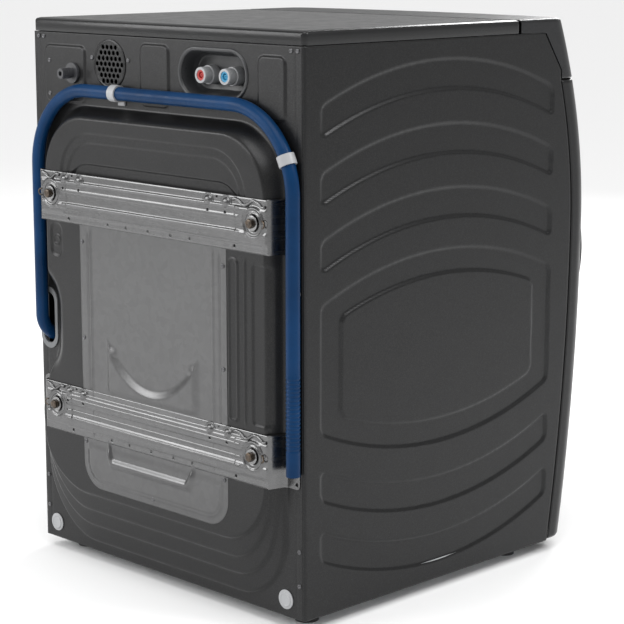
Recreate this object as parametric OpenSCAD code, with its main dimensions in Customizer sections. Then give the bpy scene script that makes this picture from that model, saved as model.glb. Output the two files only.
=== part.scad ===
// Ventless front-loading washer dryer, with its transit braces still fitted.
// The front faces -Y, the back faces +Y, and the feet stand on Z = 0. All sizes are in millimetres.
// Modules are drawn in the cabinet's own frame, Y = 0 on the back plane and Z = 0 on the underside,
// and place() moves them to the part's frame.

/* [Cabinet] */
// Width of the cabinet over its side panels
cabinet_w = 711; // [706:1:716]
// Height of the cabinet from its underside to its top
cabinet_h = 987; // [985:1:992]
// Depth from the back plane to the most forward point of the front panel
cabinet_d = 785; // [780:1:795]
// Height of the cabinet's underside above the floor
foot_h = 23; // [21:1:30]
// Thickness of the cabinet's sheet steel
sheet = 1.5; // [1:0.1:1.8]

/* [Front] */
// How far the middle of the front stands forward of its corners
front_bow = 32; // [20:1:40]
// Radius of the front's upright corners
corner_r = 38; // [30:1:42]
// Height of the most forward line of the front
belly_z = 610; // [595:1:625]
// Height of the seam between the front panel and the control panel
seam_z = 876; // [870:1:880]

/* [Door] */
// Outer radius of the door ring
door_r = 260; // [254:1:262]
// How far the door stands forward of the front panel
door_proud = 79; // [70:1:82]
// Height of the drum and door axis above the underside
drum_z = 527; // [524:1:530]

/* [Drum] */
// Outer radius of the drum
drum_r = 275; // [268:1:280]
// Length of the drum
drum_len = 520; // [500:1:525]
// Radius of the drum pulley's rim
pulley_r = 150; // [140:1:155]

/* [Back] */
// How far the pressed bulge stands out of the rear panel
bulge = 30; // [26:1:32]
// How far the transit bolts stand out of the back plane
bolt_proud = 46; // [44:1:50]
// Length of a transit brace between the ends of its raised face
brace_w = 602; // [590:1:606]
// Height of a transit brace
brace_h = 92; // [88:1:94]
// Radius of the drain hose
hose_r = 12; // [11:0.5:12]
// Radius of the water inlets' threads
inlet_r = 13.3; // [12.8:0.1:13.5]

/* [Hidden] */
$fn = 72;

// Colours
DARK = [0.30, 0.31, 0.33];
BLACK = [0.08, 0.08, 0.09];
SILVER = [0.72, 0.73, 0.74];
BLUE = [0.12, 0.28, 0.50];
PALE = [0.85, 0.86, 0.86];
RUBBER = [0.35, 0.36, 0.38];

// The part's frame: centred on the overall depth, standing on the floor
overall_d = cabinet_d + door_proud + bolt_proud;
back_y = overall_d / 2 - bolt_proud;
half_w = cabinet_w / 2;
top_seam_z = cabinet_h - 24;
gap = 1;

// Curve of the front: two parabolas that meet on the belly line
low_k = 1.36e-4;
high_k = 5.5e-4;
wrap_d = 85;
function face_y(z) = -cabinet_d + (z < belly_z ? low_k : high_k) * pow(z - belly_z, 2);
function bow_y(x) = front_bow * pow(x / half_w, 2);
function face_normal(x, z) =
    let (v = [2 * front_bow * x / pow(half_w, 2), -1, 2 * high_k * (z - belly_z)]) v / norm(v);

// Places on the back
side_seam_x = half_w - 4.5;
bulge_top_z = 835;
bulge_low_z = 17;
vent_at = [135, 911];
vent_r = 44;
gland_at = [237, 891];
inlet_z = 904;
hot_x = -105;
cold_x = -165;
recess_x = [-219, -54];
recess_z = [868, 947];
recess_d = 33;
port_x = [307, 349];
port_z = [374, 483];
brace_z = [227, 622];
bolt_x = [266, 270];
bolt_dz = 51;
cap_at = [[319, 30], [-311, 30]];

// Drum, tub and drive along the drum axis
drum_back = -110;
drum_front = drum_back - drum_len;
mouth_r = 185;
tub_r = 300;
tub_back = -75;
tub_joint = -400;
tub_mouth = -655;
shaft_r = 15;
running = 0.05;
pulley_y = [-10, 12];
motor_z = 127;
motor_pulley_r = 12;

// Door opening: a round recess in the front panel with a flat floor
recess_r = door_r + 4;
floor_y = -749;
door_back = -759;
door_front = -cabinet_d - door_proud;
hinge_x = -262;
hinge_y = -789;
pin_r = 4;

module place() { translate([0, back_y, foot_h]) children(); }

// Extrusions of a flat outline along each axis
module along_x(x0, x1) { translate([x0, 0, 0]) rotate([90, 0, 90]) linear_extrude(x1 - x0) children(); }
module along_y(y0, y1) { translate([0, y1, 0]) rotate([90, 0, 0]) linear_extrude(y1 - y0) children(); }
module along_z(z0, z1) { translate([0, 0, z0]) linear_extrude(z1 - z0) children(); }

module rod_x(y, z, r, x0, x1) { along_x(x0, x1) translate([y, z]) circle(r); }
module rod_y(x, z, r, y0, y1) { along_y(y0, y1) translate([x, z]) circle(r); }
module rod_z(x, y, r, z0, z1) { along_z(z0, z1) translate([x, y]) circle(r); }

module tube_y(x, z, r_out, r_in, y0, y1) {
    along_y(y0, y1) translate([x, z]) difference() {
        circle(r_out);
        circle(r_in);
    }
}

module block(x, y, z) {
    translate([x[0], y[0], z[0]]) cube([x[1] - x[0], y[1] - y[0], z[1] - z[0]]);
}

// Flat rectangle with round corners
module rounded(x, y, r) {
    translate([x[0] + r, y[0]]) square([x[1] - x[0] - 2 * r, y[1] - y[0]]);
    translate([x[0], y[0] + r]) square([x[1] - x[0], y[1] - y[0] - 2 * r]);
    for (cx = [x[0] + r, x[1] - r], cy = [y[0] + r, y[1] - r]) translate([cx, cy]) circle(r);
}

// Outline of the front at one height, set in by an even amount
function front_outline(z, inset, rear) =
    let (w = half_w - inset, r = corner_r - inset, y0 = face_y(z) + inset)
    concat(
        [for (a = [90:-15:0]) let (x = w - r + r * sin(a)) [-x, y0 + bow_y(x) + r * (1 - cos(a))]],
        [for (i = [-5:5]) let (x = i * (w - r) / 6) [x, y0 + bow_y(x)]],
        [for (a = [0:15:90]) let (x = w - r + r * sin(a)) [x, y0 + bow_y(x) + r * (1 - cos(a))]],
        [[w, rear], [-w, rear]]);

// Solid body of the front between two heights, closed at a flat rear plane
module front_solid(z0, z1, inset, rear = -500, steps = 9) {
    thin = 0.01;
    hull() for (i = [0:steps]) let (z = z0 + (z1 - z0 - thin) * i / steps)
        along_z(z, z + thin) polygon(front_outline(z, inset, rear));
}

// Side outline of the front's wrap: from ahead of the face to a line behind it
module wrap_outline(z0, z1, back, steps = 10) {
    ahead = 60;
    polygon(concat(
        [for (i = [0:steps]) let (z = z0 + (z1 - z0) * i / steps) [face_y(z) - ahead, z]],
        [for (i = [steps:-1:0]) let (z = z0 + (z1 - z0) * i / steps) [face_y(z) + back, z]]));
}

// Sets a piece on the control panel, local +Z along the panel's outward normal
module on_panel(x, z) {
    n = face_normal(x, z);
    translate([x, face_y(z) + bow_y(x), z]) rotate([0, acos(n[2]), atan2(n[1], n[0])]) children();
}

// ---- Cabinet ----

// Pan with an upturned rim that ties the side panels together
module base_frame() {
    rim = 35;
    x = [-half_w + sheet, half_w - sheet];
    y = [-640, -12];
    color(SILVER) place() difference() {
        union() {
            difference() {
                block(x, y, [0, rim]);
                block([x[0] + sheet, x[1] - sheet], [y[0] + sheet, y[1] - sheet], [sheet, rim + 1]);
                for (rx = [-160, 0, 160]) block([rx - 12, rx + 12], [-580, -60], [-1, 0.6]);
            }
            for (f = foot_at) rod_z(f[0], f[1], foot_boss_r, 0, 14);
            for (fx = [-195, 195]) block([fx - 22, fx + 22], [-560, -200], [sheet, 16]);
        }
        for (f = foot_at) rod_z(f[0], f[1], foot_stem_r + 0.4, -1, rim);
        block([pump_at[0] - 42, pump_at[0] + 42], [-645, -630], [16, rim + 1]);
    }
}

// Pressed band on a side panel: the space between two arcs of one radius
side_mid_y = -338;
band_r = 734;
module arc_band(top_z, low_z, y) {
    intersection() {
        translate([y[0], 0]) square([y[1] - y[0], cabinet_h]);
        difference() {
            translate([side_mid_y, top_z - band_r]) circle(band_r, $fn = 180);
            translate([side_mid_y, low_z - band_r]) circle(band_r, $fn = 180);
        }
    }
}

// The three upper bands, the two lower ones as their mirror image, and the big lens between them
module side_bands(grow = 0) {
    y = [-638 - grow, -38 + grow];
    for (t = [929, 818, 706]) arc_band(t + grow, t - 54 - grow, y);
    for (t = [192, 86]) translate([0, t]) mirror([0, 1]) arc_band(grow, -54 - grow, y);
}
module side_lens(grow = 0) {
    intersection() {
        translate([-638 - grow, 0]) square([600 + 2 * grow, cabinet_h]);
        translate([side_mid_y, 599 + grow - band_r]) circle(band_r, $fn = 180);
        translate([side_mid_y, 253 - grow + band_r]) circle(band_r, $fn = 180);
    }
}
module side_inner_lens(grow = 0) {
    intersection() {
        translate([-588 - grow, 0]) square([500 + 2 * grow, cabinet_h]);
        translate([side_mid_y, 554 + grow - band_r]) circle(band_r, $fn = 180);
        translate([side_mid_y, 298 - grow + band_r]) circle(band_r, $fn = 180);
    }
}

// Front edge of a side panel, just behind the front and control panels
module side_outline() {
    steps = 8;
    edge = wrap_d + gap;
    polygon(concat(
        [[-4.5, 0]],
        [for (i = [0:steps]) let (z = seam_z * i / steps) [face_y(z) + edge, z]],
        [[-660, 893], [-611, top_seam_z - gap], [-4.5, top_seam_z - gap]]));
}

// Left side panel; the right one is its mirror image
module side_panel() {
    press = 2;
    r_out = 4.5;
    flange_x = half_w - 22;
    z1 = top_seam_z - gap;
    difference() {
        union() {
            along_x(half_w - sheet, half_w) side_outline();
            // inner faces of the pressed bands
            along_x(half_w - sheet - press, half_w - sheet + 0.01) intersection() {
                side_outline();
                union() {
                    side_bands(2);
                    difference() { side_lens(2); side_inner_lens(-2); }
                }
            }
            // rounded rear corner and the flange behind the rear panel
            along_z(0, z1) intersection() {
                translate([half_w - r_out, -r_out]) difference() {
                    circle(r_out);
                    circle(r_out - sheet);
                }
                translate([half_w - r_out, -r_out]) square(r_out + 1);
            }
            along_z(0, z1) translate([flange_x, -2 * sheet]) square([side_seam_x - flange_x + 1, sheet]);
            along_z(0, z1) translate([side_seam_x, -2 * sheet]) square([0.8, 2 * sheet]);
        }
        along_x(half_w - press, half_w + 1) {
            side_bands();
            difference() { side_lens(); side_inner_lens(); }
        }
        along_y(-10, 1) port_outline(6);
        screw_holes();
    }
}
module side_panel_left() { color(DARK) place() side_panel(); }
module side_panel_right() { color(DARK) place() mirror([1, 0, 0]) side_panel(); }

// Outline of the bulge at its foot and at its face
module bulge_foot(inset = 0) {
    rounded([-312 + inset, 312 - inset], [bulge_low_z + inset, bulge_top_z - inset], 115 - inset);
}
module bulge_face(inset = 0) {
    rounded([-296 + inset, 296 - inset], [95 + inset, 816 - inset], 110 - inset);
}
module bulge_solid(inset) {
    rear = inset > 0 ? -2 * sheet : -sheet / 2;
    difference() {
        hull() {
            along_y(rear, rear + 0.01) bulge_foot(inset, $fn = 40);
            along_y(bulge - inset - 0.01, bulge - inset) bulge_face(inset, $fn = 40);
        }
        along_y(-10, 60) port_outline(10 + inset);
    }
}

access_x = [-200, 193];
access_z = [135, 700];
module access_outline(inset = 0) {
    rounded([access_x[0] + inset, access_x[1] - inset], [access_z[0] + inset, access_z[1] - inset], 50 - inset);
}
module recess_outline(grow = 0) {
    r = (recess_z[1] - recess_z[0]) / 2 + grow - 0.01;
    rounded([recess_x[0] - grow, recess_x[1] + grow], [recess_z[0] - grow, recess_z[1] + grow], r);
}
module port_outline(grow = 0) {
    r = (port_x[1] - port_x[0]) / 2 + grow - 0.01;
    rounded([port_x[0] - grow, port_x[1] + grow], [port_z[0] - grow, port_z[1] + grow], r);
}

// Pressed ribs that stiffen the top of the rear panel
rib_proud = 2.5;
module rear_rib(x, z, r = 14) {
    difference() {
        along_y(-sheet / 2, rib_proud) rounded(x, z, r);
        along_y(-2 * sheet, rib_proud - sheet)
            rounded([x[0] + sheet, x[1] - sheet], [z[0] + sheet, z[1] - sheet], r - sheet);
    }
}

module rear_panel() {
    color(DARK) place() difference() {
        union() {
            difference() {
                union() {
                    along_y(-sheet, 0) translate([-side_seam_x + 0.4, 0])
                        square([2 * side_seam_x - 0.8, top_seam_z - gap]);
                    bulge_solid(0);
                }
                bulge_solid(sheet);
            }
            rear_rib([-26, 51], [842, 951]);
            rear_rib([-314, -248], [838, 944]);
            rear_rib([203, 321], [836, 940]);
        }
        rod_y(vent_at[0], vent_at[1], vent_r - 6, -20, 20);
        rod_y(gland_at[0], gland_at[1], 11, -20, 20);
        rod_y(gland_at[0], gland_at[1], 14, -20, rib_proud - sheet);
        along_y(-20, 20) recess_outline(-3);
        along_y(-20, 20) port_outline();
        along_y(bulge - 10, bulge + 10) access_outline(14);
        for (c = cap_at) rod_y(c[0], c[1], 12, -20, 20);
        for (i = [0, 1], s = [-1, 1])
            rod_y(s * bolt_x[i], brace_z[i] + bolt_dz, 11, -20, bulge + 5);
        screw_holes();
    }
}

// Smile-shaped ridge, a stamped slot and two folds on the galvanised cover
module access_panel() {
    y0 = bulge;
    y1 = bulge + 1.2;
    ridge = 1.6;
    color(SILVER) place() difference() {
        union() {
            along_y(y0, y1) access_outline();
            along_y(y1 - 0.01, y1 + ridge) difference() {
                smile_outline();
                translate([0, 7]) smile_outline(-7);
            }
            for (x = [-180, 164]) block([x, x + 8], [y1 - 0.01, y1 + ridge], [190, 615]);
            along_y(y1 - 0.01, y1 + 1.5) difference() {
                rounded([-118, 126], [182, 226], 20);
                rounded([-110, 118], [190, 240], 14);
            }
        }
        screw_holes();
    }
}
module smile_outline(inset = 0) {
    w = 117 + inset;
    difference() {
        union() {
            translate([-w, 395]) square([2 * w, 60]);
            translate([-w, 395]) intersection() {
                translate([w, 70]) circle(r = 137 + inset);
                translate([0, -90]) square([2 * w, 100]);
            }
        }
        translate([-w + 22, 400]) square([2 * w - 44, 60]);
    }
}

// Lid of folded sheet with a shallow raised centre
module top_panel() {
    y = [-541, 0];
    z = [top_seam_z, cabinet_h];
    r = 9;
    lip = 1;
    color(DARK) place() difference() {
        union() {
            along_z(z[0], z[1] - lip) rounded([-half_w, half_w], y, r);
            along_z(z[1] - lip - 0.01, z[1]) rounded([-half_w + 6, half_w - 6], [y[0] + 6, y[1] - 6], r);
        }
        along_z(z[0] - 1, z[1] - lip - sheet)
            rounded([-half_w + sheet, half_w - sheet], [y[0] + sheet, y[1] - sheet], r - sheet);
        screw_holes();
    }
}

// ---- Front ----

module front_panel() {
    z0 = 2;
    z1 = seam_z - gap;
    t = 2;
    color(DARK) place() difference() {
        union() {
            difference() {
                intersection() {
                    front_solid(z0, z1, 0);
                    along_x(-half_w, half_w) wrap_outline(z0, z1, wrap_d);
                }
                front_solid(z0 + t, z1 - t, t);
                rod_y(0, drum_z, recess_r, -900, -500);
            }
            // wall and floor of the door recess, with the collar that carries the gasket
            intersection() {
                tube_y(0, drum_z, recess_r + t, recess_r, -790, floor_y + t);
                front_solid(z0, z1, 0.5);
            }
            tube_y(0, drum_z, recess_r + t, mouth_r + 8, floor_y, floor_y + t);
            tube_y(0, drum_z, mouth_r + 10, mouth_r + 8, floor_y, floor_y + 14);
        }
        front_cut(filter_x, filter_z, gap);
        block([lock_x[0] + 6, lock_x[1] - 6], [floor_y - 1, floor_y + 5], [drum_z - 14, drum_z + 14]);
    }
}

// Rectangular piece of the front's outer skin, and the hole that it fills
module front_cut(x, z, grow) {
    along_y(-850, -600) rounded([x[0] - grow, x[1] + grow], [z[0] - grow, z[1] + grow], 8);
}
module front_piece(x, z, t) {
    intersection() {
        difference() {
            front_solid(z[0] - 6, z[1] + 6, 0, -600, 6);
            front_solid(z[0] - 7, z[1] + 7, t, -590, 6);
        }
        front_cut(x, z, 0);
    }
}

drawer_x = [-322, -142];
drawer_z = [890, 950];
display_x = [66, 206];
display_z = [898, 938];
filter_x = [190, 290];
filter_z = [40, 125];
knob_x = 0;
knob_z = 922;
button_z = 916;
power_x = 306;
start_x = 256;
button_r = 12;

module control_panel() {
    t = 2.5;
    z0 = seam_z + gap;
    color(DARK) place() difference() {
        intersection() {
            difference() {
                front_solid(z0, cabinet_h, 0, -500, 7);
                front_solid(z0 + t, cabinet_h - t, t, -490, 7);
            }
            along_x(-half_w, half_w) polygon(
                [[-900, z0], [-661, z0], [-661, 893], [-612, top_seam_z], [-542, top_seam_z],
                 [-542, cabinet_h + 1], [-900, cabinet_h + 1]]);
        }
        front_cut(drawer_x, drawer_z, gap);
        front_cut(display_x, display_z, 0.02);
        on_panel(knob_x, knob_z) translate([0, 0, -20]) cylinder(r = 8, h = 40);
        for (x = [power_x, start_x])
            on_panel(x, button_z) translate([0, 0, -20]) cylinder(r = button_r + 0.6, h = 40);
    }
}

module display_window() { color(BLACK) place() front_piece(display_x, display_z, 2.5); }

// Selector knob with a fluted grip and a pointer notch
module control_knob() {
    knob_r = 31;
    color(SILVER) place() on_panel(knob_x, knob_z) difference() {
        union() {
            translate([0, 0, 1]) cylinder(r = knob_r, h = 5);
            translate([0, 0, 5.9]) cylinder(r = knob_r - 4, h = 17);
            translate([0, 0, -14]) cylinder(r = 6, h = 16);
        }
        for (a = [0:15:345]) rotate(a) translate([knob_r - 3.2, 0, 9]) cylinder(r = 1.6, h = 20, $fn = 16);
        translate([0, knob_r - 12, 22.2]) cylinder(r = 2.5, h = 2);
    }
}

module push_button() {
    cylinder(r = button_r - 0.2, h = 3);
    translate([0, 0, -9]) cylinder(r = button_r - 0.2, h = 9.5);
    translate([0, 0, -11]) cylinder(r = button_r + 3, h = 2.5);
}
module power_button() { color(SILVER) place() on_panel(power_x, button_z) push_button(); }
module start_button() { color(SILVER) place() on_panel(start_x, button_z) push_button(); }

// Open-fronted sleeve that the drawer runs in
module dispenser_housing() {
    play = 1.2;
    t = 2;
    x = [drawer_x[0] + 4 - play - t, drawer_x[1] - 4 + play + t];
    z = [drawer_z[0] + 3 - play - t, drawer_z[1] + 4];
    y = [-686, -450];
    color(PALE) place() difference() {
        union() {
            block(x, y, z);
            rod_z((x[0] + x[1]) / 2, -480, 18, z[0] - 16, z[0] + 1);
        }
        block([x[0] + t, x[1] - t], [y[0] - 1, y[1] - t], [z[0] + t, z[1] - t]);
        rod_z((x[0] + x[1]) / 2, -480, 15, z[0] - 17, z[0] + t + 1);
        rod_z(x[0] + 40, -560, 5, z[1] - 5, z[1] + 5);
        rod_z(x[1] - 40, -560, 5, z[1] - 5, z[1] + 5);
    }
}

// Drawer with two troughs behind a piece of the panel's skin
tray_y = [-706, -460];
module detergent_drawer() {
    x = [drawer_x[0] + 4, drawer_x[1] - 4];
    z = [drawer_z[0] + 3, drawer_z[1] - 12];
    wall = 2.5;
    mid = (x[0] + x[1]) / 2 + 20;
    color(DARK) place() {
        difference() {
            front_piece(drawer_x, drawer_z, 4);
            front_solid(drawer_z[0] - 8, drawer_z[0] + 7, 30, -580, 4);
        }
        difference() {
            union() {
                block(x, tray_y, z);
                intersection() {
                    block(x, [-760, tray_y[0] + 0.01], z);
                    front_solid(z[0] - 9, z[1] + 9, 3.9, -600, 5);
                }
            }
            block([x[0] + wall, mid - wall / 2], [-700, tray_y[1] - wall], [z[0] + wall, z[1] + 1]);
            block([mid + wall / 2, x[1] - wall], [-700, tray_y[1] - wall], [z[0] + wall, z[1] + 1]);
        }
    }
}

// ---- Door ----

// Pocket in the door's back for the fixed hinge ears
pocket = [-235, 48];
module door_frame() {
    inner_r = 205;
    wall = 4;
    color(DARK) place() {
        difference() {
            union() {
                // ring with a rounded front edge
                translate([0, 0, drum_z]) rotate([90, 0, 0]) rotate_extrude($fn = 120) difference() {
                    union() {
                        translate([inner_r, -door_back])
                            square([door_r - inner_r, door_back - door_front - 8]);
                        translate([inner_r + 8, -door_back])
                            square([door_r - inner_r - 16, door_back - door_front]);
                        for (r = [inner_r + 8, door_r - 8]) translate([r, -door_front - 8]) circle(8, $fn = 32);
                    }
                    translate([inner_r + wall, -door_back + wall])
                        square([door_r - inner_r - 2 * wall, door_back - door_front - 2 * wall]);
                }
                // inner plate that carries the glass
                tube_y(0, drum_z, inner_r + 1, bowl_r + 1.5, door_back, door_back + 5);
            }
            block([-300, pocket[0]], [hinge_y - 10, door_back + 10], [drum_z - pocket[1], drum_z + pocket[1]]);
            // slot for the hook and the grip in the ring's free edge
            block([hook_x - 8, hook_x + 16], [door_back - 20, door_back + 10], [drum_z - 9, drum_z + 9]);
            grip_cut();
        }
        // closed walls of the hinge pocket, and the knuckle on the pin
        difference() {
            union() {
                intersection() {
                    tube_y(0, drum_z, door_r - 0.5, inner_r, hinge_y - 14, door_back);
                    union() {
                        block([pocket[0], pocket[0] + 4], [hinge_y - 14, door_back],
                            [drum_z - pocket[1] - 4, drum_z + pocket[1] + 4]);
                        block([-300, pocket[0] + 1], [hinge_y - 14, hinge_y - 10],
                            [drum_z - pocket[1] - 4, drum_z + pocket[1] + 4]);
                        for (s = [-1, 1]) block([-300, pocket[0] + 1], [hinge_y - 14, door_back],
                            [drum_z + s * (pocket[1] + 2) - 2, drum_z + s * (pocket[1] + 2) + 2]);
                    }
                }
                rod_z(hinge_x + 0.01, hinge_y, 8, drum_z - 24, drum_z + 24);
                block([hinge_x, pocket[0] + 1], [hinge_y - 8, hinge_y + 2], [drum_z - 24, drum_z + 24]);
            }
            rod_z(hinge_x, hinge_y, pin_r + running, drum_z - 30, drum_z + 30);
        }
        // ears that hold the hook's pivot
        for (s = [-1, 1]) difference() {
            block([hook_x - 7, hook_x + 7], [door_back - 22, door_back + 4.5],
                [drum_z + s * 12 - 2.5, drum_z + s * 12 + 2.5]);
            rod_z(hook_x, hook_y, 2.5 + running, drum_z - 20, drum_z + 20);
        }
    }
}
module grip_cut() {
    block([door_r - 34, door_r + 5], [door_back - 34, door_back + 5], [drum_z - 120, drum_z - 40]);
}

// Outer glass cover, gently domed, and the bowl that reaches into the drum
bowl_r = 165;
module door_cover() {
    r = 204.7;
    y0 = -door_front - 14;
    dome = 9;
    t = 4;
    steps = 8;
    color(BLACK) place() translate([0, 0, drum_z]) rotate([90, 0, 0]) rotate_extrude($fn = 120) polygon(concat(
        [for (i = [0:steps]) let (x = r * i / steps) [x, y0 + dome * (1 - pow(x / r, 2))]],
        [for (i = [steps:-1:0]) let (x = r * i / steps) [x, y0 - t + dome * (1 - pow(x / r, 2))]]));
}
module door_glass() {
    t = 5;
    back = -645;
    seat = -door_back;
    color([0.55, 0.62, 0.64, 0.5]) place() translate([0, 0, drum_z]) rotate([90, 0, 0])
        rotate_extrude($fn = 120) difference() {
            polygon([[0, -back], [125, -back], [140, -back + 12], [bowl_r, seat - 7],
                [bowl_r, seat], [bowl_r + 14, seat], [bowl_r + 14, seat + t], [0, seat + t]]);
            polygon([[-1, -back + t], [123, -back + t], [136, -back + 15], [bowl_r - t, seat - 7],
                [bowl_r - t, seat + t + 1], [-1, seat + t + 1]]);
        }
}

// Fixed leaf: a plate on the recess floor with two ears around the door's knuckle
module door_hinge() {
    foot = [-243, -762];
    ear_r = 8;
    ear_dz = 34;
    color(SILVER) place() difference() {
        union() {
            block([-252, -212], [floor_y - 4, floor_y], [drum_z - 44, drum_z + 44]);
            // each ear is two round ends joined by a flat arm
            for (z = [drum_z - ear_dz, drum_z + ear_dz]) {
                rod_z(hinge_x, hinge_y, ear_r, z - 6, z + 6);
                rod_z(foot[0], foot[1], ear_r, z - 6, z + 6);
                along_z(z - 6, z + 6) polygon(
                    [[-268.8, -784.7], [-255.2, -793.3], [-236.2, -766.3],
                        [-236.2, floor_y - 1], [-249.8, floor_y - 1]]);
            }
        }
        rod_z(hinge_x, hinge_y, pin_r, drum_z - 60, drum_z + 60);
        for (dz = [-14, 14]) rod_y(-224, drum_z + dz, 3, floor_y - 6, floor_y + 2);
    }
}
module hinge_pin() {
    color(SILVER) place() union() {
        rod_z(hinge_x, hinge_y, pin_r, drum_z - 42, drum_z + 42);
        for (z = [drum_z - 43.5, drum_z + 40]) rod_z(hinge_x, hinge_y, pin_r + 2, z, z + 3.5);
    }
}

// Sprung hook on the door and the box that catches it
hook_x = 224;
hook_y = -775;
lock_x = [206, 248];
module door_hook() {
    color(SILVER) place() union() {
        rod_z(hook_x, hook_y, 2.5, drum_z - 14.5, drum_z + 14.5);
        rod_z(hook_x, hook_y, 6, drum_z - 5, drum_z + 5);
        block([hook_x - 4, hook_x + 4], [hook_y, -736], [drum_z - 5, drum_z + 5]);
        block([hook_x - 12, hook_x + 4], [-742, -736], [drum_z - 5, drum_z + 5]);
    }
}
module door_lock() {
    y = [floor_y + 2, floor_y + 36];
    z = [drum_z - 32, drum_z + 32];
    color(BLACK) place() difference() {
        block(lock_x, y, z);
        block([lock_x[0] + 3, lock_x[1] - 3], [y[0] - 1, y[1] - 10], [drum_z - 14, drum_z + 14]);
    }
}

// Bellows from the recess floor to the tub's mouth
module door_gasket() {
    t = 4;
    r0 = mouth_r + 7.7;
    color(RUBBER) place() translate([0, 0, drum_z]) rotate([90, 0, 0]) rotate_extrude($fn = 120) union() {
        translate([r0 - t, -floor_y - 62]) square([t, 62]);
        translate([r0 - t - 9, -floor_y - 6]) square([12, 6]);
        translate([r0 - t, -floor_y - 62]) square([16, t]);
        translate([r0 + 8, -floor_y - 93]) square([t, 33]);
        translate([r0 - 2, -floor_y - 93]) square([12, t]);
        translate([r0 - 2, -floor_y - 98]) square([t, 8]);
    }
}

// ---- Tub and drum ----

module tub_front() {
    wall = 3;
    color(PALE) place() translate([0, 0, drum_z]) rotate([90, 0, 0]) rotate_extrude($fn = 120) union() {
        translate([tub_r - wall, -tub_joint]) square([wall, -tub_mouth + tub_joint]);
        translate([mouth_r + 10, -tub_mouth - wall]) square([tub_r - mouth_r - 10, wall]);
        translate([tub_r - 1, -tub_joint]) square([9, 8]);
    }
}
module tub_rear() {
    wall = 3;
    hub_r = 55;
    color(PALE) place() difference() {
        translate([0, 0, drum_z]) rotate([90, 0, 0]) rotate_extrude($fn = 120) union() {
            translate([tub_r - wall, -tub_back]) square([wall, tub_back - tub_joint]);
            translate([bearing_r, -tub_back]) square([tub_r - bearing_r - 1, 6]);
            translate([bearing_r, -tub_back - 50]) square([hub_r - bearing_r, 51]);
            translate([tub_r - 1, -tub_joint - 8]) square([9, 7.5]);
        }
        for (i = [0, 1], s = [-1, 1]) rod_y(s * bolt_x[i], brace_z[i] + bolt_dz, 5.1, tub_back - 10, -20);
    }
}

bearing_r = 31;
bearings_y = [[-72, -56], [-42, -27]];
module shaft_bearings() {
    color(SILVER) place() for (b = bearings_y) {
        tube_y(0, drum_z, bearing_r, 25, b[0], b[1]);
        tube_y(0, drum_z, 20, shaft_r + running, b[0], b[1]);
        tube_y(0, drum_z, 25.01, 19.99, b[0] + 5, b[1] - 5);
    }
}

// Concrete weights on the tub's front wall
module counterweights() {
    y = [tub_mouth - 40, tub_mouth];
    color([0.55, 0.54, 0.52]) place() for (s = [-1, 1]) along_y(y[0], y[1]) intersection() {
        translate([0, drum_z]) difference() {
            circle(tub_r - 12);
            circle(mouth_r + 22);
        }
        translate([-400, s > 0 ? drum_z + 70 : drum_z - 470]) square([800, 400]);
    }
}

module drum() {
    wall = 1.2;
    color(SILVER) place() translate([0, 0, drum_z]) rotate([90, 0, 0]) rotate_extrude($fn = 120) union() {
        translate([drum_r - wall, -drum_back]) square([wall, drum_len]);
        translate([0, -drum_back]) square([drum_r, wall]);
        translate([mouth_r - 4, -drum_front - wall]) square([drum_r - mouth_r + 4, wall]);
        translate([mouth_r - 4, -drum_front - 14]) square([wall, 14]);
        for (y = [130, 390]) translate([drum_r - 1, -drum_back + y]) square([3, 8]);
    }
}
module drum_lifters() {
    base = 36;
    tall = 42;
    color(PALE) place() for (a = [30, 150, 270]) translate([0, 0, drum_z]) rotate([0, a, 0])
        along_y(drum_front + 40, drum_back - 30) translate([drum_r - 1.5, 0]) difference() {
            polygon([[-3.4, -base], [-tall + 8, -10], [-tall, 0], [-tall + 8, 10], [-3.4, base]]);
            polygon([[-6, -base + 7], [-tall + 12, -7], [-tall + 5, 0], [-tall + 12, 7], [-6, base - 7]]);
        }
}

// Cast cross with its pressed-in shaft
module drum_spider() {
    color(SILVER) place() union() {
        rod_y(0, drum_z, shaft_r, -108, -12);
        rod_y(0, drum_z, 48, drum_back, -88);
        for (a = [0, 120, 240]) translate([0, 0, drum_z]) rotate([0, a + 90, 0])
            along_y(drum_back, -94) polygon([[0, -26], [0, 26], [258, 12], [258, -12]]);
        rod_y(0, drum_z, 9, -13, 14);
    }
}
module drum_pulley() {
    color(SILVER) place() difference() {
        union() {
            tube_y(0, drum_z, pulley_r, pulley_r - 6, pulley_y[0], pulley_y[1]);
            rod_y(0, drum_z, 26, pulley_y[0] - 1, pulley_y[1] - 2);
            for (a = [0:60:300]) translate([0, 0, drum_z]) rotate([0, a, 0])
                along_y(pulley_y[0] + 6, pulley_y[1] - 8) translate([20, -9]) square([pulley_r - 22, 18]);
        }
        rod_y(0, drum_z, 9, -30, 30);
    }
}

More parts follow.
